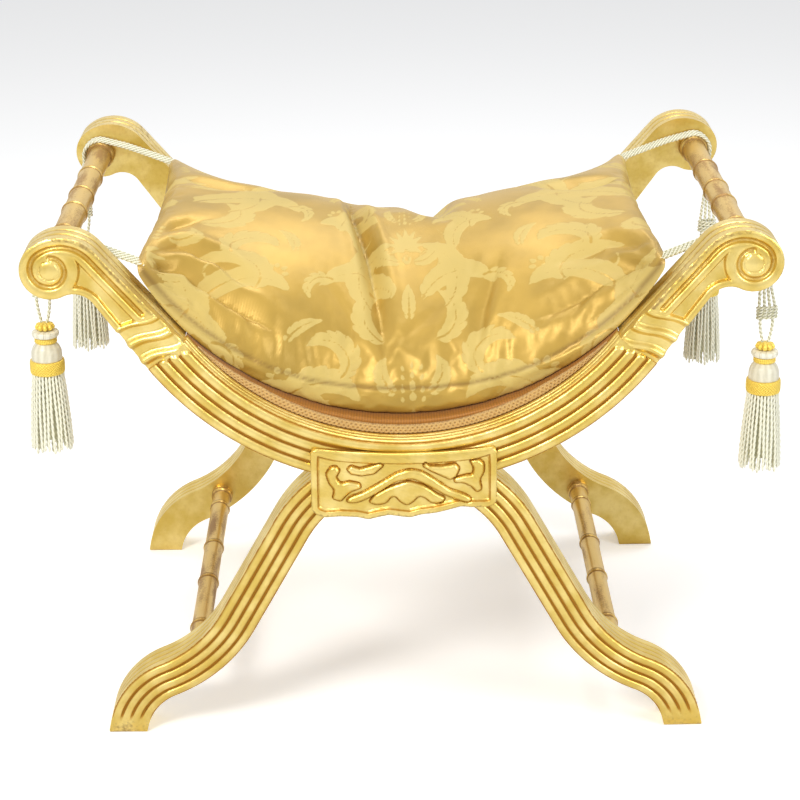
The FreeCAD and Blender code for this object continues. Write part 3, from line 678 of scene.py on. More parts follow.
@dataclass
class Studio:
    """A pale floor, soft lamps and the photograph's camera."""

    place: tuple[float, float, float] = (-0.020165, -2.18628, 1.09219)
    pitch: float = 20.876
    yaw: float = -0.504
    roll: float = -0.505
    lens: float = 100.56
    aim: tuple[float, float, float] = (0.0, 0.0, 0.3)
    floor_half: float = 6000.0
    floor_z: float = -0.2

    def camera(self) -> None:
        """Sets the camera: yaw about Z, then pitch down, then roll."""
        yaw, pitch, roll = (math.radians(a) for a in (self.yaw, self.pitch, self.roll))
        right = Vector((math.cos(yaw), math.sin(yaw), 0.0))
        ahead = Vector((-math.sin(yaw), math.cos(yaw), 0.0))
        up = Vector((0.0, 0.0, 1.0))
        view = ahead * math.cos(pitch) - up * math.sin(pitch)
        head = up * math.cos(pitch) + ahead * math.sin(pitch)
        axis_x = right * math.cos(roll) + head * math.sin(roll)
        axis_y = head * math.cos(roll) - right * math.sin(roll)
        matrix = Matrix((axis_x, axis_y, -view)).transposed().to_4x4()
        matrix.translation = Vector(self.place)
        data = bpy.data.cameras.new("camera")
        data.lens = self.lens
        data.sensor_width = 36.0
        data.sensor_fit = "HORIZONTAL"
        data.clip_end = 50.0
        camera = linked("camera", data)
        camera.matrix_world = matrix
        bpy.context.scene.camera = camera

    def lamp(self, name: str, place: Any, size: float, power: float, tint: Any) -> None:
        """Adds a square soft lamp that faces the seat."""
        data = bpy.data.lights.new(name, "AREA")
        data.shape = "SQUARE"
        data.size = size
        data.energy = power
        data.color = tint
        lamp = linked(name, data)
        aim = Vector(self.aim) - Vector(place)
        lamp.matrix_world = aim.to_track_quat("-Z", "Y").to_matrix().to_4x4()
        lamp.matrix_world.translation = Vector(place)

    def world(self) -> None:
        """A soft even light; camera, mirror and glass rays see plain white."""
        world = bpy.data.worlds.new("studio")
        world.use_nodes = True
        nodes, links = world.node_tree.nodes, world.node_tree.links
        nodes.clear()
        path = nodes.new("ShaderNodeLightPath")
        sees = path.outputs["Is Camera Ray"]
        for ray in ("Is Glossy Ray", "Is Transmission Ray"):
            either = nodes.new("ShaderNodeMath")
            either.operation = "MAXIMUM"
            links.new(sees, either.inputs[0])
            links.new(path.outputs[ray], either.inputs[1])
            sees = either.outputs[0]
        mix = nodes.new("ShaderNodeMixShader")
        links.new(sees, mix.inputs[0])
        soft, white = ((0.97, 0.98, 1.0, 1.0), 0.45), ((1.0, 1.0, 1.0, 1.0), 1.0)
        for socket, (colour, strength) in ((1, soft), (2, white)):
            light = nodes.new("ShaderNodeBackground")
            light.inputs["Color"].default_value = colour
            light.inputs["Strength"].default_value = strength
            links.new(light.outputs[0], mix.inputs[socket])
        output = nodes.new("ShaderNodeOutputWorld")
        links.new(mix.outputs[0], output.inputs["Surface"])
        bpy.context.scene.world = world

    def floor(self) -> None:
        """A wide pale floor that keeps the stool's shadow."""
        skin = Surface()
        steps = np.linspace(-self.floor_half, self.floor_half, 5)
        x, y = np.meshgrid(steps, steps)
        skin.grid(joined(x, y, self.floor_z))
        floor = skin.make("floor")
        shader = Shader("pale_floor")
        sees = shader.node("ShaderNodeLightPath", output="Is Camera Ray")
        glow = shader.mixed(sees, (0.0, 0.0, 0.0, 1.0), (0.3, 0.3, 0.3, 1.0))
        paint = shader.finished(
            Base_Color=linear(250, 250, 250),
            Roughness=0.9,
            Emission_Color=glow,
            Emission_Strength=1.0,
            Specular_IOR_Level=0.0,
        )
        floor.data.materials.append(paint)
        normals = np.empty(len(floor.data.polygons) * 3, np.float32)
        floor.data.polygons.foreach_get("normal", normals)
        if normals[2] < 0:
            floor.data.flip_normals()

    def build(self) -> None:
        """Camera first, then the lamps, the world and the floor."""
        self.camera()
        bpy.context.scene.view_settings.view_transform = "Standard"
        self.lamp("key", (-1.3, -1.9, 2.1), 0.8, 48.0, (1.0, 0.98, 0.94))
        self.lamp("fill", (1.9, -1.5, 1.3), 0.9, 20.0, (0.96, 0.98, 1.0))
        self.lamp("top", (0.2, 0.9, 2.4), 1.2, 22.0, (1.0, 1.0, 1.0))
        self.world()
        self.floor()


# Key places that the pieces share, in millimetres and degrees.

FRONT_Y = -235.0
INNER_Y = -194.0
RAIL_AXIS = np.array([0.0, 556.0])
RAIL_INNER = 252.5
RAIL_OUTER = 295.0
RAIL_HALF = 53.4
ARM_TOP = RAIL_AXIS + RAIL_INNER * towards(RAIL_HALF - 90)
ARM_UNDER = RAIL_AXIS + RAIL_OUTER * towards(RAIL_HALF - 90)
VOLUTE = ARM_TOP + np.array([120.0, 72.5])
CUSHION_AXIS = np.array([0.0, 601.0])
CUSHION_RADIUS = 280.0
CUSHION_HALF = 61.0
SEAT_RADIUS = CUSHION_RADIUS + 0.6
REED_DEPTH = 2.9
STRETCHER_Z = 71.0
TIE_Y = 182.0
STRAND_RADIUS = 1.75
HANDLE_COLLAR = 15.2
WRAP_RADIUS = HANDLE_COLLAR + STRAND_RADIUS + 0.3


class Corner(Enum):
    """The four tied corners, with what the photograph shows of each.

    The values are its word, the signs of its side and depth, how far out its knot hangs from
    the strands' drop, and the drops of the knot and, below it, of the tassel.
    """

    FRONT_LEFT = ("front_left", -1, -1, -2.0, 29.0, 38.0)
    FRONT_RIGHT = ("front_right", 1, -1, 6.0, 58.0, 37.0)
    BACK_LEFT = ("back_left", -1, 1, 5.0, 54.0, 37.0)
    BACK_RIGHT = ("back_right", 1, 1, 1.0, 79.0, 37.0)

    def __init__(
        self, word: str, side: int, depth: int, out: float, knot_drop: float, head_drop: float
    ) -> None:
        """Keeps the values by name; flip carries the back right corner to this one."""
        self.word = word
        self.flip = np.array([side, depth, 1])
        self.knot = np.array([VOLUTE[0] + WRAP_RADIUS + out, TIE_Y, VOLUTE[1] - knot_drop])
        self.head = self.knot - [0.0, 0.0, head_drop]


# Cords and tassels.


STEP = 0.55


def read_route(name: str, points: Sequence[Sequence[float]]) -> Array:
    """The smooth line that a route's points control.

    Args:
        name: A name for the curve while it is read.
        points: The route's points, in millimetres.

    Returns:
        Points of the NURBS spline, about STEP millimetres apart.
    """
    curve = bpy.data.curves.new(name, "CURVE")
    curve.dimensions = "3D"
    curve.resolution_u = 24
    spline = curve.splines.new("NURBS")
    spline.points.add(len(points) - 1)
    for slot, point in zip(spline.points, points):
        slot.co = (*(c * MM for c in point), 1.0)
    spline.order_u = 3
    spline.use_endpoint_u = True
    holder = bpy.data.objects.new(name, curve)
    mesh = bpy.data.meshes.new_from_object(holder)
    line = coordinates(mesh) / MM
    bpy.data.meshes.remove(mesh)
    bpy.data.objects.remove(holder)
    bpy.data.curves.remove(curve)
    length = np.linalg.norm(np.diff(line, axis=0), axis=1).sum()
    return resampled(line, max(8, int(length / STEP)))


def twisted(
    path: Array, radius: float, pitch: float, sides: int = 12, phase: float = 0.0
) -> tuple[Array, Array]:
    """Rings of a two-ply twist: a peanut section that turns once for each two pitches.

    The radius at an angle a is R times the square root of cos(a - t) squared plus a third of
    sin(a - t) squared, where t grows along the path.

    Returns:
        The rings' offsets from the path, and how deep each point lies between the plies, from
        0 to 1, with the first column repeated at the end.
    """
    way = np.gradient(path, axis=0)
    way /= np.linalg.norm(way, axis=1)[:, None]
    side = np.cross(way, np.array([0.0, 1.0, 0.0]))
    weak = np.linalg.norm(side, axis=1) < 1e-3
    side[weak] = np.cross(way[weak], np.array([1.0, 0.0, 0.0]))
    side /= np.linalg.norm(side, axis=1)[:, None]
    lift = np.cross(side, way)
    steps = np.linalg.norm(np.diff(path, axis=0), axis=1)
    along = np.concatenate([[0.0], np.cumsum(steps)])
    angle = np.linspace(0.0, 2 * np.pi, sides, endpoint=False)[None, :]
    turn = (np.pi * along / pitch + phase)[:, None]
    section = np.sqrt(np.cos(angle - turn) ** 2 + 0.34 * np.sin(angle - turn) ** 2)
    reach = radius * section
    rings = (
        side[:, None, :] * (reach * np.cos(angle))[..., None]
        + lift[:, None, :] * (reach * np.sin(angle))[..., None]
    )
    hollow = np.clip(1.0 - (section - 0.58) / 0.42, 0.0, 1.0)
    return rings, np.concatenate([hollow, hollow[:, :1]], axis=1)


@dataclass
class Ties:
    """The doubled cords from the cushion's corners, over the handles, to the knots."""

    strand_pitch: float = 5.05
    strand_count: int = 4
    ply_pitch: float = 4.4
    swing_drop: float = 6.0
    knot_radii: tuple[float, float] = (8.9, 2.5)
    knot_turns: float = 3.75
    knot_pitch: float = 3.25
    knot_cord: float = 1.72

    def route(self, index: int, corner: Corner) -> list[tuple[float, float, float]]:
        """The points of one strand's route, as for the back right corner."""
        beside = self.strand_pitch * (index - (self.strand_count - 1) / 2)
        y = TIE_Y + beside
        start = CUSHION_AXIS + (CUSHION_RADIUS - 5.0) * towards(CUSHION_HALF - 90)
        run = (VOLUTE[0] - start[0]) * 0.56
        sag = start + np.array([run, run * 0.293 + 5.0])
        touch = tangent_point(sag, VOLUTE, WRAP_RADIUS, 1)
        rise = turn_of(touch - sag)
        reach = WRAP_RADIUS * math.tan(math.radians((rise + 90) / 4))
        over = touch + towards(rise) * reach
        near = over - towards(rise) * reach * 2
        drop_x = VOLUTE[0] + WRAP_RADIUS
        return [
            (start[0], y, start[1]),
            (sag[0], y, sag[1]),
            (near[0], y, near[1]),
            (over[0], y, over[1]),
            (drop_x, y, VOLUTE[1] + reach),
            (drop_x, y, VOLUTE[1] - self.swing_drop),
            (corner.knot[0] + beside, TIE_Y, corner.knot[2] - 2.0),
        ]

    def strand(self, index: int, corner: Corner) -> None:
        word = corner.word
        name = f"{word}_strand_{index + 1}"
        points = [tuple(np.array(p) * corner.flip) for p in self.route(index, corner)]
        path = read_route(name + "_route", points)
        rings, hollow = twisted(path, STRAND_RADIUS, self.ply_pitch, phase=index * 1.3)
        skin = Surface()
        along = np.linspace(0, len(path) * STEP * MM, len(path))[:, None]
        across = np.linspace(0, 2 * np.pi * STRAND_RADIUS * MM, hollow.shape[1])[None, :]
        # Painted shade between the plies.
        skin.tube(path, rings, uv=joined(along, across), recess=hollow)
        piece = placed(skin.make(name, 80.0), Finish.CORD.material, None)
        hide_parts(f"{word}_tie", f"{word}_drop")
        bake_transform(piece)

    def knot(self, corner: Corner) -> bpy.types.Object:
        """A coil of the same cord wrapped round the strands: a flat helix."""
        word = corner.word
        turn = np.linspace(0.0, 2 * np.pi * self.knot_turns, 330)
        wide, deep = self.knot_radii
        drop = 1.8 + self.knot_pitch * turn / (2 * np.pi)
        helix = np.stack([wide * np.cos(turn), deep * np.sin(turn), -drop], -1)
        path = (helix + corner.knot) * corner.flip
        rings, hollow = twisted(path, self.knot_cord, self.ply_pitch, 10, 0.4)
        skin = Surface()
        along = np.linspace(0, 0.2, len(path))[:, None]
        across = np.linspace(0, 0.01, hollow.shape[1])[None, :]
        # Painted shade between the plies.
        skin.tube(path, rings, uv=joined(along, across), recess=hollow)
        piece = skin.make(f"{word}_wrapped_knot", 80.0)
        return placed(piece, Finish.CORD.material, f"{word}_cord", [f"{word}_knot"])

    def loop(self, corner: Corner) -> bpy.types.Object:
        """The two strands between the knot and the tassel, bowed like a closing loop."""
        word = corner.word
        x, y, knot_z = corner.knot
        high, low = knot_z - 13.5, corner.head[2] - 1.0
        skin = Surface()
        for side in (-1, 1):
            bow = ((6.0, high), (6.4, high * 0.6 + low * 0.4), (2.4, low))
            points = [tuple(np.array([x + side * out, y, z]) * corner.flip) for out, z in bow]
            path = read_route(f"{word}_loop_route", points)
            rings, hollow = twisted(path, STRAND_RADIUS, self.ply_pitch, phase=side)
            # Painted shade between the plies.
            skin.tube(path, rings, recess=hollow)
        piece = skin.make(f"{word}_tassel_loop", 80.0)
        return placed(piece, Finish.CORD.material, f"{word}_tassel", [f"{word}_loop"])

    def build(self) -> None:
        """All the cords, with the tassel that each corner carries."""
        tassel = Tassel()
        tassel.prepare()
        for corner in Corner:
            carried = [self.knot(corner), self.loop(corner)] + tassel.hang(corner)
            for index in range(self.strand_count):
                self.strand(index, corner)
        tassel.clear()


@dataclass
class Tassel:
    """An ivory tassel: rosette, rolled lip, neck, satin bell, gold braid, bullion skirt."""

    bell_drop: float = 37.0
    braid_height: float = 13.0
    skirt_length: float = 81.0
    rows: tuple[tuple[int, float, float], ...] = ((28, 13.9, 18.9), (20, 9.6, 13.4))
    strand_radius: float = 1.55
    ply_pitch: float = 6.0
    masters: list[bpy.types.Object] = field(default_factory=list)

    def turned(
        self, profile: Sequence[tuple[float, float]], count: int, ribs: int, depth: float
    ) -> Surface:
        """A ribbed form of revolution about the tassel's own axis.

        The radius at a height is the profile's, times 1 plus depth times the size of the
        sine of the rib angle.
        """
        line = resampled(np.array(profile), count)
        turn = np.linspace(0.0, 2 * np.pi, 145)[None, :]
        rib = np.abs(np.sin(turn * ribs / 2))
        radius = line[:, :1] * (1.0 + depth * (rib - 0.6))
        drop = line[:, 1:2]
        skin = Surface()
        points = revolved(radius, turn, -drop)
        # Painted shade between the ribs of the turned piece.
        skin.grid(points, uv=joined(turn * 0.014, drop * MM), recess=(1.0 - rib) ** 2)
        return skin

    def head(self) -> list[bpy.types.Object]:
        """The turned pieces: rosette of nine folds, rolled lip, neck band and satin bell."""
        rosette = [(0.01, 0.0), (4.0, 0.2), (7.6, 1.6), (8.8, 4.0), (7.8, 6.6), (4, 8.0), (0.01, 8)]
        lip = [(0.01, 7.6), (9.0, 7.7), (12.2, 8.6), (13.0, 10.8), (12.4, 13.2), (9.6, 14.8)]
        lip += [(0.01, 14.9)]
        neck = [(0.01, 14.6), (9.6, 14.6), (10.8, 15.8), (10.2, 17.2), (10.9, 18.6), (9.8, 20)]
        neck += [(0.01, 20.0)]
        bell = [(0.01, 19.8), (9.4, 19.9), (10.6, 21.4), (12.9, 24.4), (14.3, 28.4), (14.6, 33)]
        bell += [(14.4, 37.2), (0.01, 37.3)]
        plan = ((rosette, 30, 9, 0.26), (lip, 34, 44, 0.03), (neck, 36, 36, 0.03))
        plan += ((bell, 44, 72, 0.012),)
        return [self.turned(*row).make("turned_master", 80.0) for row in plan]

    def braid(self) -> bpy.types.Object:
        """The woven gold band: two sets of raised slanting plaits, one over the other."""
        turn = np.linspace(0.0, 2 * np.pi, 181)[None, :]
        drop = np.linspace(0.0, 1.0, 35)[:, None]
        slant = 18 * turn
        rise = drop * 2 * np.pi * 2.5
        plait = np.maximum(np.sin(slant + rise) ** 2, np.sin(slant - rise) ** 2)
        edge = swell(2 * drop - 1) ** 0.35
        radius = 14.9 + (0.5 + 1.3 * plait) * edge
        height = self.bell_drop + drop * self.braid_height
        skin = Surface()
        points = revolved(radius, turn, -height)
        # Painted shade between the plaits and on the end rings.
        skin.grid(points, uv=joined(turn * 0.016, height * MM), recess=1.0 - plait)
        skin.close(points, recess=0.5)
        return skin.make("braid_master", 80.0)

    def skirt(self) -> bpy.types.Object:
        """Twisted bullion strands that hang from the braid and spread a little."""
        skin = Surface()
        start = self.bell_drop + self.braid_height - 1.0
        for ring, (count, radius_a, radius_b) in enumerate(self.rows):
            for index in range(count):
                turn = 2 * np.pi * (index + 0.5 * ring) / count
                length = self.skirt_length - 1.0 - 4.5 * abs(math.sin(index * 2.39 + ring))
                drop = np.linspace(0.0, length, 46)
                share = drop / self.skirt_length
                bow = radius_a + (radius_b - radius_a) * share + 1.1 * np.sin(share * 2.6)
                sway = 0.05 * np.sin(share * 5.0 + index * 1.9) * share
                sway = sway + 0.045 * math.sin(index * 3.1 + ring) * share
                path = revolved(bow, turn + sway, -start - drop)
                rings, hollow = twisted(path, self.strand_radius, self.ply_pitch, 8, index * 0.9)
                taper = np.clip(0.55 + drop / 6.0, 0, 1) * np.clip((length - drop) / 2 + 0.5, 0, 1)
                # Painted shade between the plies, and over the whole inner row behind the outer
                # one.
                recess = np.clip(0.5 * hollow + 0.4 * ring, 0, 1)
                skin.tube(path, rings * taper[:, None, None], recess=recess)
        core = [(0.01, start), (12.5, start), (12.8, start + 40), (14.5, start + 66)]
        core += [(0.01, start + 66)]
        line = resampled(np.array(core), 30)
        turn = np.linspace(0, 2 * np.pi, 49)[None, :]
        # The core hidden inside the strands is painted in full shade.
        skin.grid(revolved(line[:, :1], turn, -line[:, 1:2]), recess=1.0)
        return skin.make("skirt_master", 80.0)

    def prepare(self) -> None:
        """Builds each piece once, on its own axis."""
        self.masters = [*self.head(), self.braid(), self.skirt()]

    def hang(self, corner: Corner) -> list[bpy.types.Object]:
        """Copies the tassel to its place under a corner's knot."""
        name = corner.word
        plan = [
            ("rosette", Finish.GOLD_THREAD, [f"{name}_tassel_head"], "gold_thread"),
            ("lip", Finish.IVORY, [], "tassel_silk"),
            ("neck_band", Finish.GOLD_THREAD, [], "gold_thread"),
            ("satin_bell", Finish.IVORY, [], "tassel_silk"),
            ("plaited_band", Finish.GOLD_THREAD, [f"{name}_tassel_braid"], "gold_thread"),
            ("bullion", Finish.BULLION, [f"{name}_tassel_skirt"], "tassel_silk"),
        ]
        hung = []
        for master, (word, finish, nodes, slot) in zip(self.masters, plan):
            piece = copied(master, f"{name}_{word}", corner.flip, corner.head)
            hung.append(placed(piece, finish.material, f"{name}_tassel", nodes))
        return hung

    def clear(self) -> None:
        """Removes the masters."""
        for master in self.masters:
            bpy.data.objects.remove(master)


# Carved gilt frame.


def swept(turn: Array, radius: Array, y: Array | float) -> Array:
    """Points at an angle and radius about the crescent's axis, at a depth."""
    angle = np.radians(turn - 90)
    return joined(radius * np.cos(angle), y, RAIL_AXIS[1] + radius * np.sin(angle))


@dataclass
class Crescent:
    """The reeded crescent rail: one section swept about the crescent's axis."""

    reeds: int = 4
    fine_reeds: int = 3
    finger: float = 3.2
    face_lean: float = 16.6
    slope_y: float = FRONT_Y + 20.0
    slope_drop: float = 2.0
    rebate_y: float = -211.0
    rebate_radius: float = 264.5

    def build(self) -> bpy.types.Object:
        """Four half-round reeds on the face, three fine ones on the slope above it.

        The reeds' height is a half-round across each reed, less a half-round over the last
        few millimetres before the arm, so each ends in a rounded finger.
        """
        turn = np.linspace(-RAIL_HALF, RAIL_HALF, 260)[:, None]
        share = reed_shares(self.reeds, 17)
        radius = RAIL_OUTER - (RAIL_OUTER - RAIL_INNER) * share
        reed = across_reed(share, self.reeds)
        reed[:, -1] = 1.0
        middle = (RAIL_INNER + RAIL_OUTER) / 2
        lean = (radius - middle) * math.tan(math.radians(self.face_lean))
        end = np.radians(RAIL_HALF - np.abs(turn)) * radius + lean - 2.0
        along = np.clip((self.finger - end) / self.finger, 0.0, 1.0)
        round_end = np.where(end > self.finger, 0.0, along)
        narrow = np.clip(np.abs(reed) / 0.84, 0, 1)
        hump = np.sqrt(np.clip(1 - narrow**2 - round_end**2, 0, 1)) ** 0.8
        wobble = 0.18 * waver(np.radians(turn) * radius, 47.0, 1.0) * hump
        front = FRONT_Y + REED_DEPTH * (1 - hump) - 0.2 * hump + wobble
        # Ochre clay in the reed grooves, with painted shade: darker the deeper the groove.
        hollow = np.clip(1.3 * (1 - hump), 0, 1) * (1 - 0.75 * (round_end > 0.6))
        face = swept(turn, radius, front)
        slope = np.linspace(0, 1, 31)[None, :]
        fine = across_reed(slope, self.fine_reeds)
        fine[:, -1] = 1.0
        rise = swell(fine) ** 0.7 * np.clip(np.sin(np.pi * slope), 0, 1) ** 0.2
        depth_y = front[:, -1:] + (self.slope_y - front[:, -1:]) * slope
        top = swept(turn, RAIL_INNER - self.slope_drop * slope - 1.3 * rise, depth_y)
        low = RAIL_INNER - self.slope_drop
        back_r = np.array([[low, low, self.rebate_radius, self.rebate_radius, RAIL_OUTER]])
        back_y = np.array([[self.slope_y, self.rebate_y, self.rebate_y, INNER_Y, INNER_Y]])
        rear = swept(turn, back_r, back_y)
        under = np.linspace(0, 1, 25)[None, :]
        soft = 0.8 * (1 - swell(across_reed(under, self.fine_reeds)))
        soft[:, [0, -1]] = 0
        base = swept(turn, RAIL_OUTER - soft, INNER_Y + (front[:, :1] - INNER_Y) * under)
        skin = Surface()
        # Painted shade too on the rear face, the underside and the end caps, over the ochre clay.
        skin.grid(face, recess=hollow, wear=0.08)
        skin.grid(top, recess=np.clip(1 - rise, 0, 1) * 0.8, wear=0.3)
        skin.grid(rear, recess=0.9)
        skin.grid(base, recess=0.4 + soft * 0.5, wear=0.1)
        loop = np.concatenate([face, top[:, 1:], rear[:, 1:], base[:, 1:]], axis=1)
        skin.close(loop, recess=0.6)
        return skin.make("front_crescent", 50.0)


@dataclass
class ScrollArm:
    """The arm: collars where it joins the rail, a sunk field and a scroll with an eye."""

    volute_radius: float = 27.3
    crown_radius: float = 43.5
    crown_turn: float = 50.0
    throat_radius: float = 21.5
    throat_turn: float = 244.4
    groove_inset: float = 9.0
    groove_half: float = 2.5
    groove_depth: float = 2.7
    ring_radius: float = 26.5
    panel_depth: float = 3.2
    eye_radius: float = 9.0
    tip_turn: float = -30.0
    collar_turn: float = -20.0
    collar_end: float = 46.0
    collar_base: float = 2.8
    rolls: tuple[tuple[float, ...], ...] = ((4.5, 6.5, 1.6), (24.0, 6.5, 1.9), (43.0, 5.0, 1.9))

    def __post_init__(self) -> None:
        """Works out the centres and tangent points of the outline."""
        self.crown = VOLUTE - towards(self.crown_turn) * (self.crown_radius - self.volute_radius)
        self.crown_start = tangent_point(ARM_TOP, self.crown, self.crown_radius, 1)
        reach = self.volute_radius + self.throat_radius
        self.throat = VOLUTE + towards(self.throat_turn) * reach
        self.throat_end = tangent_point(ARM_UNDER, self.throat, self.throat_radius, 1)
        self.way = unit(self.crown_start - ARM_TOP)
        self.into = unit(self.crown - self.crown_start)
        self.collar = towards(self.collar_turn)

    def edges(self) -> tuple[Array, Array]:
        """The upper and lower edges of the arm, from the rail to the tip of the scroll."""
        crown_from = turn_of(self.crown_start - self.crown)
        upper = np.concatenate(
            [
                straight(ARM_TOP, self.crown_start, 120),
                arc(self.crown, self.crown_radius, crown_from, self.crown_turn, 200)[1:],
            ]
        )
        throat_from = turn_of(self.throat_end - self.throat)
        lower = np.concatenate(
            [
                straight(ARM_UNDER, self.throat_end, 160),
                arc(self.throat, self.throat_radius, throat_from, self.throat_turn - 180, 160)[1:],
            ]
        )
        upper = resampled(upper, 170)
        lower = resampled(lower, 170)
        curl = np.sin(np.linspace(0, np.pi / 2, 80))
        top = self.crown_turn + (self.tip_turn - self.crown_turn) * curl
        low = self.throat_turn - 360 + (self.tip_turn - self.throat_turn + 360) * curl
        upper = np.concatenate([upper, (VOLUTE + self.volute_radius * towards(top))[1:]])
        lower = np.concatenate([lower, (VOLUTE + self.volute_radius * towards(low))[1:]])
        return upper, lower

    def groove_line(self) -> Array:
        """The groove's middle: inside the upper edge, then a spiral that closes on the eye."""
        inset = self.groove_inset
        crown_from = turn_of(self.crown_start - self.crown)
        start = ARM_TOP + self.way * (self.collar_end + 1)
        first = straight(start + self.into * inset, self.crown_start + self.into * inset, 60)
        bend = arc(self.crown, self.crown_radius - inset, crown_from, self.crown_turn, 120)
        share = np.linspace(0, 1, 300)
        turn = self.crown_turn + (-265.0 - self.crown_turn) * share
        radius = self.volute_radius - inset - (self.volute_radius - inset - 12.4) * share
        spiral = VOLUTE + radius[:, None] * towards(turn)
        return np.concatenate([first, bend[1:], spiral[1:]])

    def panel(self) -> Array:
        """The outline of the sunk field: collar, upper border, scroll ring and throat."""
        depth = float(np.dot(VOLUTE - ARM_TOP, self.into)) - self.ring_radius + 1.0
        corner = ARM_TOP + self.way * self.collar_end + self.into * depth
        back = corner - VOLUTE
        half = float(np.dot(back, self.way))
        run = -half - math.sqrt(half**2 - float(np.dot(back, back)) + self.ring_radius**2)
        ring = corner + self.way * run
        inset = self.throat_radius + 6.0
        span = float(np.linalg.norm(self.throat - VOLUTE))
        along = (span**2 + self.ring_radius**2 - inset**2) / (2 * span)
        lean = math.degrees(math.acos(along / self.ring_radius))
        ring_from = turn_of(ring - VOLUTE) % 360
        ring_to = self.throat_turn - lean
        foot = VOLUTE + self.ring_radius * towards(ring_to)
        under_way = unit(self.throat_end - ARM_UNDER)
        under_in = (self.throat_end - self.throat) / self.throat_radius
        throat_foot = self.throat + under_in * inset
        gap = ARM_UNDER + under_in * 6.0 - corner
        cross = self.collar[0] * under_way[1] - self.collar[1] * under_way[0]
        reach = (gap[0] * under_way[1] - gap[1] * under_way[0]) / cross
        low = corner + self.collar * reach
        throat_from = turn_of(foot - self.throat) % 360
        throat_to = turn_of(throat_foot - self.throat) % 360
        return np.concatenate(
            [
                straight(corner, ring, 60),
                arc(VOLUTE, self.ring_radius, ring_from, ring_to, 80)[1:],
                arc(self.throat, inset, throat_from, throat_to, 60)[1:],
                straight(throat_foot, low, 60)[1:],
                straight(low, corner, 60)[1:],
            ]
        )

    def relief(self, flat: Array, border: Array) -> tuple[Array, Array, Array]:
        """How deep each point of the arm's face lies, and its recess and wear; the recess carries
        the ochre clay of the hollows and painted shade.

        The lands between edge, groove and field are pillows: half-rounds of the distance to
        the nearest of them. The collars are two rolls and a closing ridge between hollows.
        """
        edge, _ = nearest(flat, border)
        groove, _ = nearest(flat, self.groove_line())
        outline = self.panel()
        panel, _ = nearest(flat, outline)
        within = inside(flat, outline)
        back = flat - (ARM_TOP + ARM_UNDER) / 2
        collar = self.collar
        cross = self.way[0] * collar[1] - self.way[1] * collar[0]
        place = (back[..., 0] * collar[1] - back[..., 1] * collar[0]) / cross
        side = (self.way[0] * back[..., 1] - self.way[1] * back[..., 0]) / cross
        nearest_line = np.minimum(np.minimum(edge, np.abs(groove - self.groove_half)), panel)
        pillow = 1.5 * swell(1 - np.clip(nearest_line / 4.0, 0, 1))
        cut = self.groove_depth * np.clip(1 - (groove / self.groove_half) ** 2, 0, 1) ** 0.8
        sunk = self.panel_depth * ease(0.0, 1.8, panel) * within
        scroll = np.where(within, sunk, cut - pillow * (groove > self.groove_half))
        around = np.linalg.norm(flat - VOLUTE, axis=-1)
        dome = -2.4 * swell(around / self.eye_radius)
        scroll = np.where(around < self.eye_radius, dome, scroll)
        crease = bell_curve(around - self.eye_radius - 0.6, 0.8)
        scroll = scroll + 0.9 * crease
        wave = 1.5 * np.sin(side * 0.15 + 0.6)
        collars = np.full(flat.shape[:-1], self.collar_base)
        foot = np.zeros(flat.shape[:-1])
        for middle, half, lift in self.rolls:
            share = np.clip(np.abs(place - middle - wave) / half, 0, 1)
            roll = 0.5 + 0.5 * np.cos(np.pi * share)
            collars = collars - (self.collar_base + lift) * roll
            foot = np.maximum(foot, bell_curve(share - 0.9, 0.12))
        collars = collars + 1.6 * (1 - swell(1 - np.clip(edge / 3.5, 0, 1)))
        blend = ease(self.collar_end - 3.0, self.collar_end + 0.6, place - wave)
        depth = collars * (1 - blend) + scroll * blend
        notch = np.maximum(0, waver(flat[..., 0] * 1.1 + flat[..., 1] * 0.7, 9.0, 2.0)) ** 2
        rim = bell_curve(edge - 2.0, 2.4) * (place > self.collar_end) * (side < 0)
        depth = depth + 0.9 * notch * rim
        # Painted shade: the recess grows with depth and adds dark lines along the eye's crease, the
        # sunk field's edge and the feet of the collar rolls.
        recess = np.clip(np.where(depth > 0, depth / 4.6, 0), 0, 1) + 0.4 * crease
        recess = np.where(within, 0.12 + 0.6 * np.exp(-panel / 1.4), recess)
        recess = recess * blend + (0.1 + 0.32 * foot) * (1 - blend)
        wear = 0.15 + 0.6 * rim + 0.2 * np.exp(-edge / 1.2)
        return depth, np.clip(recess, 0, 1), wear

    def build(self) -> bpy.types.Object:
        """The face is a grid ruled between the two edges; the sides carry fine reeds."""
        upper, lower = self.edges()
        share = np.linspace(0, 1, 84)[None, :, None]
        flat = upper[:, None, :] * (1 - share) + lower[:, None, :] * share
        border = np.concatenate([resampled(upper, 420), resampled(lower, 420)])
        depth, recess, wear = self.relief(flat, border)
        skin = Surface()
        front = raised(flat, FRONT_Y + depth)
        skin.grid(front, recess=recess, wear=wear)
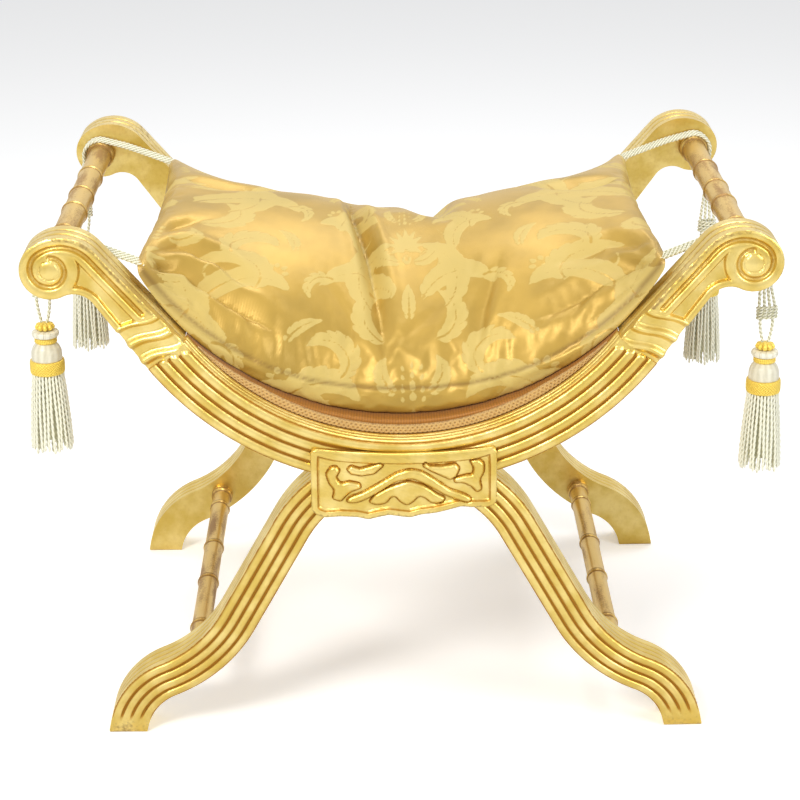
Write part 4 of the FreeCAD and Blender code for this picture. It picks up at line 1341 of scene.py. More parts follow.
        # Painted shade on the back face.
        skin.grid(raised(flat, INNER_Y), recess=0.35, wear=0.2)
        for line, column, outwards in ((upper, 0, 1), (lower, -1, -1)):
            skin_y = FRONT_Y + depth[:, column]
            back = np.linspace(0, 1, 29)[None, :]
            y = skin_y[:, None] * (1 - back) + INNER_Y * back
            way = np.gradient(line, axis=0)
            way /= np.maximum(np.linalg.norm(way, axis=1)[:, None], 1e-9)
            normal = np.stack([-way[:, 1], way[:, 0]], -1) * outwards
            lane = (y - FRONT_Y) / (INNER_Y - FRONT_Y) * 3 % 1.0
            groove = bell_curve(lane, 0.1) + bell_curve(lane - 1.0, 0.1)
            groove = groove * (back > 0.12) * (back < 0.93)
            ends = ease(0, 6, np.arange(len(line)))[:, None]
            ends = ends * ease(0, 8, np.arange(len(line))[::-1])[:, None]
            moved = line[:, None, :] - normal[:, None, :] * (1.1 * groove * ends)[..., None]
            worn = 0.52 if column == 0 else 0.3
            # The side grooves: ochre clay with painted shade.
            skin.grid(raised(moved, y), recess=np.clip(groove * ends, 0, 1), wear=worn)
        # Painted shade on the end face where the arm meets the rail.
        skin.grid(np.stack([front[0], raised(flat[0], INNER_Y)]), recess=0.6)
        return skin.make("front_right_scroll_arm", 50.0)


@dataclass
class Leg:
    """The S-shaped reeded leg: arch, straight, knee, ankle and foot."""

    width: float = 37.0
    reeds: int = 4
    arch_z: float = 155.0
    arch_radius: float = 124.0
    arch_turn: float = 60.8
    knee_radius: float = 141.7
    knee_turn: float = 22.3
    ankle_radius: float = 67.3
    ankle_turn: float = 78.2
    ankle_height: float = 7.5
    web_z: float = 242.0
    arch_cuts: int = 80
    toe: tuple[tuple[float, float], ...] = ((0.4, 0.0), (0.75, 0.0), (0.93, 0.35), (1.0, 1.3))

    def out(self, slope: Array | float) -> Array:
        """The unit vector square to a line that slopes down at an angle, in degrees."""
        return towards(90.0 - slope)

    def middle(self) -> tuple[Array, Array]:
        """The middle line's points, and the angle at which each slopes down."""
        out = self.out
        arch_centre = np.array([0.0, self.arch_z])
        turns = np.linspace(0.0, self.arch_turn, self.arch_cuts)
        line = [arch_centre + self.arch_radius * out(turns)]
        slopes = [turns]
        arch_end = line[0][-1]
        bends = np.radians([self.arch_turn, self.knee_turn, self.ankle_turn])
        cos_arch, cos_knee, cos_ankle = np.cos(bends)
        knee_drop = self.knee_radius * (cos_knee - cos_arch)
        ankle_drop = self.ankle_radius * (cos_knee - cos_ankle)
        drop = arch_end[1] - knee_drop - ankle_drop - self.ankle_height
        run = drop / math.sin(math.radians(self.arch_turn))
        knee_start = arch_end + towards(-self.arch_turn) * run
        line.append(straight(arch_end, knee_start, 20)[1:])
        slopes.append(np.full(19, self.arch_turn))
        knee_centre = knee_start + out(self.arch_turn) * self.knee_radius
        turns = np.linspace(self.arch_turn, self.knee_turn, 60)[1:]
        line.append(knee_centre - self.knee_radius * out(turns))
        slopes.append(turns)
        ankle_centre = line[-1][-1] - out(self.knee_turn) * self.ankle_radius
        turns = np.linspace(self.knee_turn, self.ankle_turn, 60)[1:]
        line.append(ankle_centre + self.ankle_radius * out(turns))
        slopes.append(turns)
        return np.concatenate(line), np.concatenate(slopes)

    def rows(self) -> tuple[Array, Array, Array, Array]:
        """The section's rows, square to the middle line, from the crossing to the floor.

        Returns:
            The rows in the XZ plane, the way outwards of each row, the place of each point
            across its own reed, and how far each row is tucked in under the foot.
        """
        line, slope = self.middle()
        half = self.width / 2
        out = self.out(slope)
        sin_s, cos_s = np.sin(np.radians(slope)), np.cos(np.radians(slope))
        arch = np.arange(len(line)) < self.arch_cuts
        web = (self.web_z - self.arch_z) / np.maximum(cos_s, 0.2) - self.arch_radius
        low = np.where(arch, np.minimum(-half, web), -half)
        gap = RAIL_AXIS[1] - self.arch_z
        under = np.clip((RAIL_OUTER + 0.3) ** 2 - (gap * sin_s) ** 2, 0, None)
        roof = gap * cos_s - np.sqrt(under) - self.arch_radius
        high = np.where(arch & (slope < 47), np.minimum(half, roof), half)
        offset = low[:, None] + (high - low)[:, None] * reed_shares(self.reeds, 14)
        rows = line[:, None, :] + out[:, None, :] * offset[..., None]
        way = towards(-self.ankle_turn)
        reach = rows[-1][:, 1] / -way[1]
        foot = [rows[-1] + way * (reach * part)[:, None] for part, _ in self.toe]
        rows = np.concatenate([rows, np.stack(foot)])
        grown = np.minimum(np.arange(len(rows)), len(line) - 1)
        place = np.clip((offset[grown] + half) / self.width, 0, 0.9999)
        reed = across_reed(place, self.reeds)
        reed[:, -1] = np.where(high[grown] >= half, 1, -1)
        tuck = np.concatenate([np.zeros(len(line)), [tuck for _, tuck in self.toe]])
        return rows, out[grown], reed, tuck[:, None]

    def build(self) -> bpy.types.Object:
        """The reeded face and outer side, and the plain back and inner side."""
        rows, out, reed, tuck = self.rows()
        fade = ease(6.0, 24.0, rows[..., 1])
        hump = swell(reed / 0.84) ** 0.8
        dent = 0.15 * waver(rows[..., 1], 33.0, 3.0)
        front_y = FRONT_Y + REED_DEPTH * (1 - hump) * fade + dent * hump + tuck
        inner_y = INNER_Y - tuck
        centre = rows.mean(axis=1, keepdims=True)
        rows = rows + (centre - rows) * tuck[..., None] / (self.width / 2)
        skin = Surface()
        face = raised(rows, front_y)
        # Ochre clay in the reed grooves, with painted shade: darker the deeper, fading near the
        # foot.
        skin.grid(face, recess=np.clip((1 - hump) * fade * 1.3, 0, 1), wear=0.1 + 0.5 * (1 - fade))
        lane = np.linspace(0, 1, 41)[None, :]
        fine = swell(across_reed(lane, self.reeds)) ** 0.7
        fine[:, [0, -1]] = 1.0
        side_fade = ease(8.0, 26.0, rows[:, -1, 1])[:, None]
        sunk = 1.2 * (1 - fine) * side_fade
        outer = rows[:, -1:, :] - out[:, None, :] * sunk[..., None]
        side = raised(outer, front_y[:, -1:] * (1 - lane) + inner_y * lane)
        skin.grid(side, recess=np.clip(1 - fine, 0, 1) * side_fade, wear=0.25)
        rear = raised(rows[:, ::-1], inner_y)
        # Painted shade on the back, the inner side and the end caps.
        skin.grid(rear, recess=0.3, wear=0.15)
        lane = np.linspace(0, 1, 9)[None, :]
        inner = np.repeat(rows[:, :1], 9, axis=1)
        under = raised(inner, inner_y * (1 - lane) + front_y[:, :1] * lane)
        skin.grid(under, recess=0.35, wear=0.15)
        loop = np.concatenate([face, side[:, 1:], rear[:, 1:], under[:, 1:]], axis=1)
        skin.cap(loop[0], recess=0.6)
        skin.cap(loop[-1], recess=0.6, wear=0.8)
        return skin.make("front_right_reeded_leg", 50.0)


@dataclass
class Plaque:
    """The carved plaque over the crossing of the legs."""

    half: float = 88.0
    top_z: float = 302.5
    sag: float = 7.1
    thickness: float = 7.0
    corner: float = 7.0
    ground: float = 1.9
    leaf_height: float = 3.4

    def low_edge(self, x: Array) -> Array:
        """The waved lower edge: a smoothed line through points read off the carving."""
        xs = np.array([-88, -76, -60, -44, -34, -24, -14, -2, 6, 16, 30, 44, 54, 64, 78, 88])
        zs = np.array([236, 231, 232, 231, 228.5, 231, 233, 231, 230, 233, 234.5, 238, 241, 240])
        zs = np.concatenate([zs, [240, 242]])
        fine = np.linspace(-100, 100, 801)
        padded = np.pad(np.interp(fine, xs, zs), 16, mode="edge")
        return np.interp(x, fine, np.convolve(padded, weights(33), "valid"))

    def ornaments(self) -> list[Array]:
        """The outlines of the raised leaves, in the plaque's own plane."""
        arch = [(-56, 246), (-54, 251), (-38, 257), (-20, 268), (-8, 276), (5, 280), (17, 278)]
        arch += [(30, 269), (43, 259), (57, 254), (66, 248), (62, 244), (52, 247), (38, 253)]
        arch += [(24, 262), (8, 270), (-8, 267), (-24, 256), (-34, 250), (-46, 245)]
        fan = [(-34, 246), (-28, 254), (-14, 262), (4, 268), (20, 263), (32, 254), (40, 250)]
        fan += [(37, 245), (26, 244), (20, 250), (14, 252), (10, 247), (3, 242), (-4, 246)]
        fan += [(-8, 252), (-13, 251), (-16, 245), (-26, 243)]
        tongue = [(-69, 283), (-74, 276), (-71, 266), (-66, 259), (-68, 250), (-60, 247)]
        tongue += [(-52, 256), (-40, 261), (-42, 266), (-52, 268), (-60, 266), (-64, 272)]
        tongue += [(-60, 279), (-64, 284)]
        leaf = [(-50, 284), (-42, 281), (-34, 283), (-22, 287), (-19, 283), (-28, 275)]
        leaf += [(-40, 273), (-50, 275), (-54, 280)]
        right_leaf = [(20, 288), (24, 283), (36, 283), (49, 285), (53, 280), (50, 272), (44, 268)]
        right_leaf += [(36, 272), (26, 277), (18, 282)]
        hook = [(62, 288), (70, 290), (76, 285), (76, 276), (72, 268), (74, 258), (69, 255)]
        hook += [(64, 261), (56, 265), (48, 265), (47, 270), (57, 273), (65, 274), (66, 280)]
        rounded = []
        for outline in (arch, fan, tongue, leaf, right_leaf, hook):
            closed = np.array(outline + outline[:1], float)
            fine = resampled(closed, 160)[:-1]
            padded = np.concatenate([fine[-5:], fine, fine[:5]])
            columns = [np.convolve(padded[:, k], weights(11), "valid") for k in range(2)]
            rounded.append(np.stack(columns, -1))
        return rounded

    def build(self) -> bpy.types.Object:
        """A grid between the hollow top and the waved foot, with the leaves in relief."""
        x = np.linspace(-self.half, self.half, 244)[:, None]
        radius = (self.half**2 + self.sag**2) / (2 * self.sag)
        top = self.top_z - self.sag + radius - np.sqrt(radius**2 - x**2)
        low = self.low_edge(x)
        past = np.clip((np.abs(x) - (self.half - self.corner)) / self.corner, 0, 1)
        cut = self.corner * (1 - np.sqrt(1 - past**2))
        top = top - cut
        low = low + cut * 0.8
        share = np.linspace(0, 1, 104)[None, :]
        z = low * (1 - share) + top * share
        flat = joined(x, z)
        ends = [straight(flat[-1, 0], flat[-1, -1], 60), straight(flat[0, -1], flat[0, 0], 60)]
        edge, _ = nearest(flat, np.concatenate([flat[:, 0], ends[0], flat[::-1, -1], ends[1]]))
        wide = 6.5 + 5.0 * ease(18.0, 4.0, top - z) * ease(self.half, 60, np.abs(x))
        roll = -1.6 * swell(np.clip(edge / wide, 0, 1) * 1.9 - 0.95) + 1.2 * (edge < 0.01)
        depth = np.where(edge < wide, roll, self.ground * ease(0.0, 2.4, edge - wide))
        # Ochre clay on the ground, and painted shade: a dark line at the foot of the border roll.
        recess = 0.25 * ease(0, 2, edge - wide) + bell_curve(edge - wide, 0.9)
        for outline in self.ornaments():
            rim, _ = nearest(flat, outline)
            within = inside(flat, outline)
            lift = self.leaf_height * swell(1 - np.clip(rim / 4.2, 0, 1))
            crease = bell_curve(rim, 0.75)
            depth = np.where(within, self.ground - lift, depth) + 0.9 * crease
            # Painted shade: a dark line along each leaf's crease.
            recess = np.where(within, 0, recess) + crease
        depth = depth + 0.12 * waver(flat[..., 0] + 3 * flat[..., 1], 13.0, 5.0)
        raised_y = 2.4 - self.thickness + (depth - 0.6) * ease(0.0, 1.2, edge)
        front = raised(flat, FRONT_Y + raised_y)
        back = raised(flat, FRONT_Y + 0.2)
        skin = Surface()
        worn = 0.15 + 0.55 * ease(7.0, 0.5, z - low) + 0.25 * ease(6.0, 0.0, top - z)
        skin.grid(front, recess=np.clip(recess, 0, 1), wear=worn)
        # Painted shade on the back and the sides.
        skin.grid(back, recess=0.6)
        lane = np.linspace(0, 1, 5)[:, None, None]
        for side in (np.s_[:, 0], np.s_[:, -1], np.s_[0], np.s_[-1]):
            skin.grid(front[side] * (1 - lane) + back[side] * lane, recess=0.3, wear=0.3)
        return skin.make("front_carved_plaque", 45.0)


@dataclass
class Spindle:
    """A turned bamboo-style rod between the two side frames."""

    centre: Array
    radius: float
    collar_radius: float
    collar_length: float
    nodes: tuple[float, ...]
    name: str

    def build(self) -> bpy.types.Object:
        """A profile turned about Y: cups at the ends, a swelling ring at each joint.

        The radius is the rod's, plus a sharp ring and a wide soft swelling about each joint.
        """
        y = np.linspace(INNER_Y, -INNER_Y, 320)
        radius = np.full_like(y, self.radius)
        hollow = np.zeros_like(y)
        for node in self.nodes:
            gap = y - node
            radius += 0.9 * bell_curve(gap, 1.6) + 0.7 * bell_curve(gap, 9.0)
            radius -= 0.6 * bell_curve(np.abs(gap) - 3.2, 0.8)
            hollow += bell_curve(np.abs(gap) - 3.2, 1.1)
        cup = -INNER_Y - np.abs(y)
        flare = ease(self.collar_length, self.collar_length - 7.0, cup)
        grown = self.collar_radius - self.radius
        radius += (grown - 0.9) * flare
        for place in (3.0, self.collar_length - 6.0):
            radius += 0.9 * bell_curve(cup - place, 2.4)
            hollow += bell_curve(cup - place - 3.6, 1.0)
        turn = np.linspace(0, 2 * np.pi, 37)[None, :]
        reach = radius[:, None] * (1.0 + 0.008 * np.sin(3 * turn + y[:, None] / 40))
        x, z = self.centre
        skin = Surface()
        points = joined(x + reach * np.cos(turn), y[:, None], z + reach * np.sin(turn))
        skin.grid(points, recess=np.clip(hollow, 0, 1)[:, None])
        skin.close(points, recess=0.5)
        return skin.make(self.name, 60.0)


@dataclass
class GiltFrame:
    """Both side frames and the four rods between them."""

    def mirrored(self, piece: bpy.types.Object, word: str, nodes: Sequence[str]) -> None:
        """Places a piece of the right front and its copies, one for each CAD node."""
        for node in nodes:
            flip = (-1 if "left" in node else 1, -1 if node.startswith("back") else 1, 1)
            twin = copied(piece, node + "_" + word, flip)
            placed(twin, Finish.GILT.material, "frame", [node])
        bpy.data.objects.remove(piece)

    def build(self) -> None:
        """Rails, arms, legs, plaques and rods."""
        self.mirrored(Crescent().build(), "reeded", ["front_seat_rail", "back_seat_rail"])
        corners = [f"{y}_{x}" for y in ("front", "back") for x in ("left", "right")]
        self.mirrored(ScrollArm().build(), "scroll", [c + "_arm" for c in corners])
        self.mirrored(Leg().build(), "reeded", [c + "_leg" for c in corners])
        self.mirrored(Plaque().build(), "carved", ["front_plaque", "back_plaque"])
        line, _ = Leg().middle()
        knee = line[np.abs(line[:, 1] - STRETCHER_Z).argmin()]
        rods = (
            ("handle", VOLUTE, 11.8, HANDLE_COLLAR, 22.0, (-125.0, -46.0, 12.0, 88.0)),
            ("stretcher", knee, 9.8, 12.0, 16.0, (-150.0, -44.0, 44.0, 150.0)),
        )
        for word, centre, radius, collar, length, nodes in rods:
            rod = Spindle(centre, radius, collar, length, nodes, word + "_master").build()
            for side, sign in (("left", -1), ("right", 1)):
                twin = copied(rod, f"{side}_{word}_turned", (sign, 1, 1))
                node = f"{side}_{word}"
                placed(twin, Finish.BRONZE.material, "frame", [node])
            bpy.data.objects.remove(rod)


# Seat and cushion.


@dataclass
class Seat:
    """The bowed seat, its silk cover and the braid along its edges."""

    half_turn: float = 46.0
    wall_y: float = 210.8
    gimp_height: float = 8.4
    gimp_end: float = 50.0
    gimp_front: float = -214.6
    gimp_back: float = -211.3
    gimp_pitch: float = 4.6

    def cover(self) -> None:
        """A thin bowed pad: flat under, crowned over, with soft rolled edges."""
        turn = np.linspace(-self.half_turn, self.half_turn, 150)
        top = CUSHION_AXIS + SEAT_RADIUS * towards(turn - 90)
        ray = top - RAIL_AXIS
        ray /= np.linalg.norm(ray, axis=1)[:, None]
        low = RAIL_AXIS + ray * (RAIL_INNER - 0.4)
        angle = np.linspace(0, 2 * np.pi, 121)
        across = np.sign(np.cos(angle)) * np.abs(np.cos(angle)) ** 0.16
        lift = (0.5 + 0.5 * np.sign(np.sin(angle)) * np.abs(np.sin(angle)) ** 0.3)[:, None]
        points = low[:, None, :] * (1 - lift) + top[:, None, :] * lift
        skin = Surface()
        grid = raised(points, across * self.wall_y)
        # Painted shade: the whole cover a little darker, its two ends more.
        skin.grid(grid, uv=joined((turn * 4.9 * MM)[:, None], across * 0.21), recess=0.2)
        skin.close(grid, recess=0.4)
        piece = skin.make("seat_silk_cover", 60.0)
        placed(piece, Finish.SEAT.material, "frame", ["seat_cover", "seat_padding"])

    def gimp(self) -> bpy.types.Object:
        """The braid: a flat band with two plaits that cross over each other."""
        turn = np.linspace(-self.gimp_end, self.gimp_end, 560)[:, None]
        outer = RAIL_INNER - 2.2
        angle = np.radians(turn)
        gap = CUSHION_AXIS[1] - RAIL_AXIS[1]
        roof = np.sqrt(SEAT_RADIUS**2 - (gap * np.sin(angle)) ** 2) - gap * np.cos(angle)
        inner = np.maximum(outer - self.gimp_height, roof)
        share = np.linspace(0, 1, 19)[None, :]
        radius = outer + (inner - outer) * share
        along = angle * 250.0
        beat = along / self.gimp_pitch
        over, under = (np.abs(np.sin(np.pi * (beat + way * share * 1.5))) for way in (1, -1))
        plait = np.maximum(over, under) ** 1.5 * swell(2 * share - 1) ** 0.3
        face = swept(turn, radius, self.gimp_front + 1.2 * (1 - plait))
        rear = swept(turn, radius[:, ::-1], self.gimp_back)
        skin = Surface()
        uv = joined(along * MM, share * self.gimp_height * MM)
        # Painted shade between the plaits, on the back and along both edges, most on the lower one.
        skin.grid(face, uv=uv, recess=1 - plait)
        skin.grid(rear, recess=0.8)
        skin.grid(np.stack([face[:, 0], rear[:, -1]]), recess=0.5)
        skin.grid(np.stack([face[:, -1], rear[:, 0]]), recess=0.3)
        skin.close(np.concatenate([face, rear, face[:, :1]], axis=1))
        return skin.make("gimp_master", 60.0)

    def build(self) -> None:
        """The cover and both braids."""
        self.cover()
        braid = self.gimp()
        for side, sign in (("front", 1), ("back", -1)):
            twin = copied(braid, f"{side}_gimp_braided", (1, sign, 1))
            placed(twin, Finish.GIMP.material, "frame", [f"{side}_gimp"])
        bpy.data.objects.remove(braid)


@dataclass
class Motif:
    """The damask: acanthus leaves drawn as rows of discs along curling spines."""

    wide: float = 250.0
    high: float = 215.0
    cell: float = 12.5
    discs: list[Array] = field(default_factory=list)
    veins: list[Array] = field(default_factory=list)

    def chain(
        self, x: float, y: float, heading: float, length: float, curl: float,
        thick: float, thin: float, count: int,
    ) -> tuple[Array, Array, Array]:
        """Adds a tapering row of discs whose heading turns evenly.

        The disc's radius is half thick times the share that swells to 1 at a third of the
        way and falls to thin at the tip.

        Returns:
            The discs' x and y, and the heading at each, in radians.
        """
        share = np.linspace(0.0, 1.0, count)
        angle = np.radians(heading + curl * share)
        step = length / (count - 1)
        sx = x + np.concatenate([[0], np.cumsum(np.cos(angle) * step)[:-1]])
        sy = y + np.concatenate([[0], np.cumsum(np.sin(angle) * step)[:-1]])
        body = np.sin(np.pi * np.clip(share**0.8 * 0.92 + 0.06, 0, 1)) ** 0.7
        radius = np.maximum(0.5 * thick * body, 0.5 * thin)
        self.discs.append(np.stack([sx, sy, radius], -1))
        return sx, sy, angle

    def leaf(
        self, x: float, y: float, heading: float, length: float, curl: float,
        width: float, lobes: int,
    ) -> None:
        """Adds an acanthus leaf: a thin spine with curved lobes down both sides.

        A lobe's length is the width times the sine of pi times its share along the spine,
        and it leans forward more the nearer it is to the tip.
        """
        sx, sy, angle = self.chain(x, y, heading, length, curl, 0.4 * width, 1.0, 40)
        self.veins.append(np.stack([sx, sy, np.linspace(1.2, 0.4, 40)], -1)[:34])
        lobes = int(lobes * 1.5)
        for number in range(lobes):
            share = 0.06 + 0.88 * number / max(lobes - 1, 1)
            at = int(share * 39)
            reach = width * (0.3 + 0.6 * math.sin(math.pi * share**0.8))
            for side in (-1, 1):
                lean = math.degrees(angle[at]) + side * (66 - 34 * share)
                self.chain(
                    sx[at], sy[at], lean, reach, -side * 66.0, 0.3 * reach + 1.0, 0.7, 10
                )
        self.chain(sx[-4], sy[-4], math.degrees(angle[-4]), width * 0.5, curl * 0.1, 4.0, 0.8, 7)

    def palmette(self, x: float, y: float, size: float) -> None:
        """A fan of plain leaves over two small scrolls."""
        for lean in (0, 24, 48, 74, 100):
            length = size * (1.0 - 0.0032 * lean)
            self.chain(x, y, 90 - lean, length, -0.35 * lean, size * 0.2, 1.0, 16)
        self.chain(x + 2, y - 5, -20, size * 0.9, 210, 4.5, 1.6, 22)
        self.chain(x + 2, y - 12, -50, size * 0.7, -190, 4.0, 1.6, 20)

    def draw(self) -> Array:
        """The right half of one repeat; the field mirrors it about the middle line."""
        self.palmette(0, -4, 34)
        for step in range(4):
            self.chain(0, 38 + 9 * step, 90, 6.5, 0, 6.0 - step, 1.0, 7)
            self.chain(7, 36 + 9 * step, 60, 6.0, 30, 3.4, 0.8, 6)
        for leaf in (
            (12, 44, 20, 34, 95, 15, 5), (8, -26, -8, 44, 78, 17, 6),
            (16, -74, 62, 96, -118, 32, 9), (40, -88, 40, 104, 122, 32, 9),
            (66, -18, 104, 82, -136, 30, 8), (92, 10, 76, 74, 150, 27, 7),
            (58, 52, 122, 60, -170, 24, 6), (24, 92, 12, 66, 128, 24, 6),
            (88, -62, 20, 44, -150, 15, 5), (112, 70, 96, 40, 60, 14, 5),
            (0, -100, 90, 40, 0, 17, 5),
        ):
            self.leaf(*leaf)
        self.chain(30, -40, 10, 60, 250, 3.6, 1.8, 34)
        self.chain(64, 30, -30, 52, -260, 3.4, 1.8, 30)
        for turn in range(7):
            place = towards(turn * 51.4) * 7.0 + np.array([103.0, 38.0])
            self.chain(place[0], place[1], turn * 51.4, 5.0, 0, 5.5, 1.0, 6)
        return np.concatenate(self.discs)

    def field(self, s: Array, t: Array) -> Array:
        """The distance from each point of the cloth to the nearest leaf's edge, in mm.

        Every other column drops by half a repeat, and each column is mirrored about its
        middle. The points are taken cell by cell, each with only the discs near it.
        """
        rises = (-self.high, 0.0, self.high)
        discs = self.draw()
        discs = np.concatenate([discs + [0, rise, 0] for rise in rises])
        veins = np.concatenate(self.veins)
        veins = np.concatenate([veins + [0, rise, 0] for rise in rises])
        column = np.floor((s + self.wide / 2) / self.wide)
        u = np.abs(s - column * self.wide)
        v = t + np.where(np.mod(column, 2) == 0, 0.0, self.high / 2)
        v = np.mod(v + self.high / 2, self.high) - self.high / 2
        across = np.floor(u / self.cell).astype(int)
        key = across * 1000 + np.floor((v + self.high) / self.cell).astype(int)
        order = np.argsort(key, kind="stable")
        starts = np.flatnonzero(np.diff(key[order], prepend=-1))
        edge = np.full(len(u), 6.0)
        for part in np.split(order, starts[1:]):
            pu, pv = u[part], v[part]
            near = np.abs(discs[:, 0] - pu.mean()) < self.cell + 16.0
            near &= np.abs(discs[:, 1] - pv.mean()) < self.cell + 16.0
            if near.any():
                close = discs[near]
                gap = np.hypot(pu[:, None] - close[:, 0], pv[:, None] - close[:, 1])
                edge[part] = np.minimum(edge[part], (gap - close[:, 2]).min(1))
                rib = np.hypot(pu[:, None] - veins[:, 0], pv[:, None] - veins[:, 1])
                edge[part] = np.maximum(edge[part], (veins[:, 2] - rib).max(1))
        return edge


@dataclass
class Cushion:
    """The loose damask cushion: a box cushion bent over the seat, plumped by simulation."""

    boxing: float = 28.0
    corner_thickness: float = 8.0
    crown: float = 104.0
    end_crown: float = 24.0
    half_depth: float = 200.0
    ear: float = 7.0
    bulge: float = 6.0
    belly: float = 15.0
    lip: float = 6.0
    slack: float = 9.0
    end_round: float = 13.0
    cloth_radius: float = 215.0
    voxel: float = 4.8
    frames: int = 14
    most_travel: float = 16.0

    def section(self, turn: Array) -> tuple[Array, Array, Array, Array]:
        """The boxing, crown, half depth and side bulge at an angle along the cushion."""
        share = (turn / CUSHION_HALF) ** 2
        boxing = self.boxing + (self.corner_thickness - self.boxing) * share
        crown = self.crown + (self.end_crown - self.crown) * share**2
        half = self.half_depth + self.ear * share
        return boxing, crown, half, self.bulge * boxing / self.boxing

    def shell(self) -> Array:
        """The cushion before it is plumped: rows along it, columns round its section."""
        run = np.linspace(-CUSHION_HALF, CUSHION_HALF, 101)
        turn = np.concatenate([np.full(7, run[0]), run, np.full(7, run[-1])])
        quarter = np.linspace(0, np.pi / 2, 8)
        end = np.concatenate([-np.cos(quarter)[:7], np.zeros(len(run)), np.sin(quarter)[1:]])
        boxing, crown, half, bulge = (a[:, None] for a in self.section(turn))
        crown = crown - self.slack * 0.55 * np.clip(crown / 60, 0, 1)
        seam = half - bulge
        ball = (seam**2 + crown**2) / (2 * crown)
        spread = np.arcsin(np.clip(seam / ball, -1, 1))
        over = np.linspace(-1, 1, 81)[None, :]
        top_y = ball * np.sin(over * spread)
        top_h = boxing + crown - ball + ball * np.cos(over * spread)
        side = np.linspace(0, 1, 17)[None, 1:]
        plump = boxing / self.boxing
        side_y = seam + plump * (self.belly * np.sin(np.pi * side**0.9) + 5.0 * side)
        side_h = boxing * (1 - side) - 2.0 * side
        base_y = np.linspace(1, -1, 61)[None, 1:-1] * (seam + 5.0 * plump)
        base_h = np.full(base_y.shape, -2.0)
        y = np.concatenate([top_y, side_y, base_y, -side_y[:, ::-1], top_y[:, :1]], axis=1)
        h = np.concatenate([top_h, side_h, base_h, side_h[:, ::-1], top_h[:, :1]], axis=1)
        squeeze = np.sqrt(np.clip(1 - end**2, 0, 1))[:, None]
        middle = (boxing + crown) * 0.42
        y = y * squeeze**0.3
        h = middle + (h - middle) * squeeze
        outwards = self.end_round * end[:, None]
        radius = CUSHION_RADIUS - h
        angle = np.radians(turn - 90)[:, None]
        x = radius * np.cos(angle) - outwards * np.sin(angle)
        z = CUSHION_AXIS[1] + radius * np.sin(angle) + outwards * np.cos(angle)
        return np.stack([x, y, z], -1)

    def creases(self, points: Array) -> tuple[Array, Array]:
        """How far the top is pulled down by folds, gathers and puckers, and where it is shut.

        A fold is a valley that is sharp along its line, with a low ridge beside it. Gathers
        are sines of the angle about a corner that die away from it, and puckers are short
        waves square to the seam.
        """
        pull = np.zeros(len(points))
        shut = np.zeros(len(points))
        for line, depth, wide in self.folds():
            spine = resampled(np.array(line, float), 90)
            gap, index = nearest(points[:, :2], spine)
            fade = np.sin(np.pi * np.clip(index / 89 * 0.92 + 0.04, 0, 1)) ** 0.6
            valley = 1.25 * np.exp(-gap / wide) - 0.3 * bell_curve(gap - 2.2 * wide, wide)
            pull += depth * valley * fade
            shut = np.maximum(shut, bell_curve(gap, wide * 2.0) * fade)
        for number, (side, depth) in enumerate(((-1, -1), (1, -1), (-1, 1), (1, 1))):
            away = points[:, :2] - np.array([side * 244.0, depth * 196.0])
            far = np.linalg.norm(away, axis=1)
            angle = np.arctan2(away[:, 1] * depth, away[:, 0] * side)
            fan = np.sin(angle * 13.0 + 1.3 * number) + 0.6 * np.sin(angle * 21.0 + number)
            pull += 3.2 * fan * ease(4.0, 26.0, far) * np.exp(-far / 62.0)
        x, y = points[:, 0], points[:, 1]
        rim = bell_curve(np.abs(y) - 192.0, 13.0)
        pull += 0.9 * rim * (np.sin(x / 4.4) * np.sin(x / 17.0 + 1.0) + 0.5 * np.sin(x / 2.9))
        pull += 2.2 * np.sin(x / 41.0 + y / 73.0) * np.sin(y / 52.0 - x / 117.0 + 1.0)
        return pull, shut

    def folds(self) -> list[tuple[list[tuple[float, float]], float, float]]:
        """The folds of the top, in plan: points, depth and half width in millimetres."""
        return [
            ([(-50, 70), (-45, 0), (-31, -70), (-19, -150), (-16, -190)], 11.0, 7.0),
            ([(18, 200), (20, 130), (32, 50), (42, -10)], 9.0, 15.0),
            ([(-238, -176), (-206, -158), (-165, -166), (-122, -182)], 12.0, 6.5),
            ([(-232, -160), (-206, -128), (-176, -128), (-150, -150)], 11.0, 7.0),
            ([(-236, -140), (-214, -96), (-186, -70)], 5.0, 8.0),
            ([(238, -176), (190, -166), (130, -176)], 8.0, 6.5),
            ([(234, -158), (196, -128), (150, -132)], 6.0, 8.0),
            ([(236, 40), (190, 24), (140, 40)], 4.0, 14.0),
            ([(-236, 60), (-180, 40), (-120, 52)], 3.5, 14.0),
            ([(150, 196), (142, 130), (122, 70)], 5.0, 13.0),
            ([(-110, 196), (-100, 130), (-120, 60)], 3.5, 14.0),
            ([(70, -190), (78, -150), (96, -110)], 3.5, 7.0),
        ]

    def applied(self, piece: bpy.types.Object) -> bpy.types.Mesh:
        """The mesh that the piece's modifiers give; they are then cleared."""
        bpy.context.view_layer.update()
        graph = bpy.context.evaluated_depsgraph_get()
        mesh = bpy.data.meshes.new_from_object(piece.evaluated_get(graph))
        piece.modifiers.clear()
        return mesh

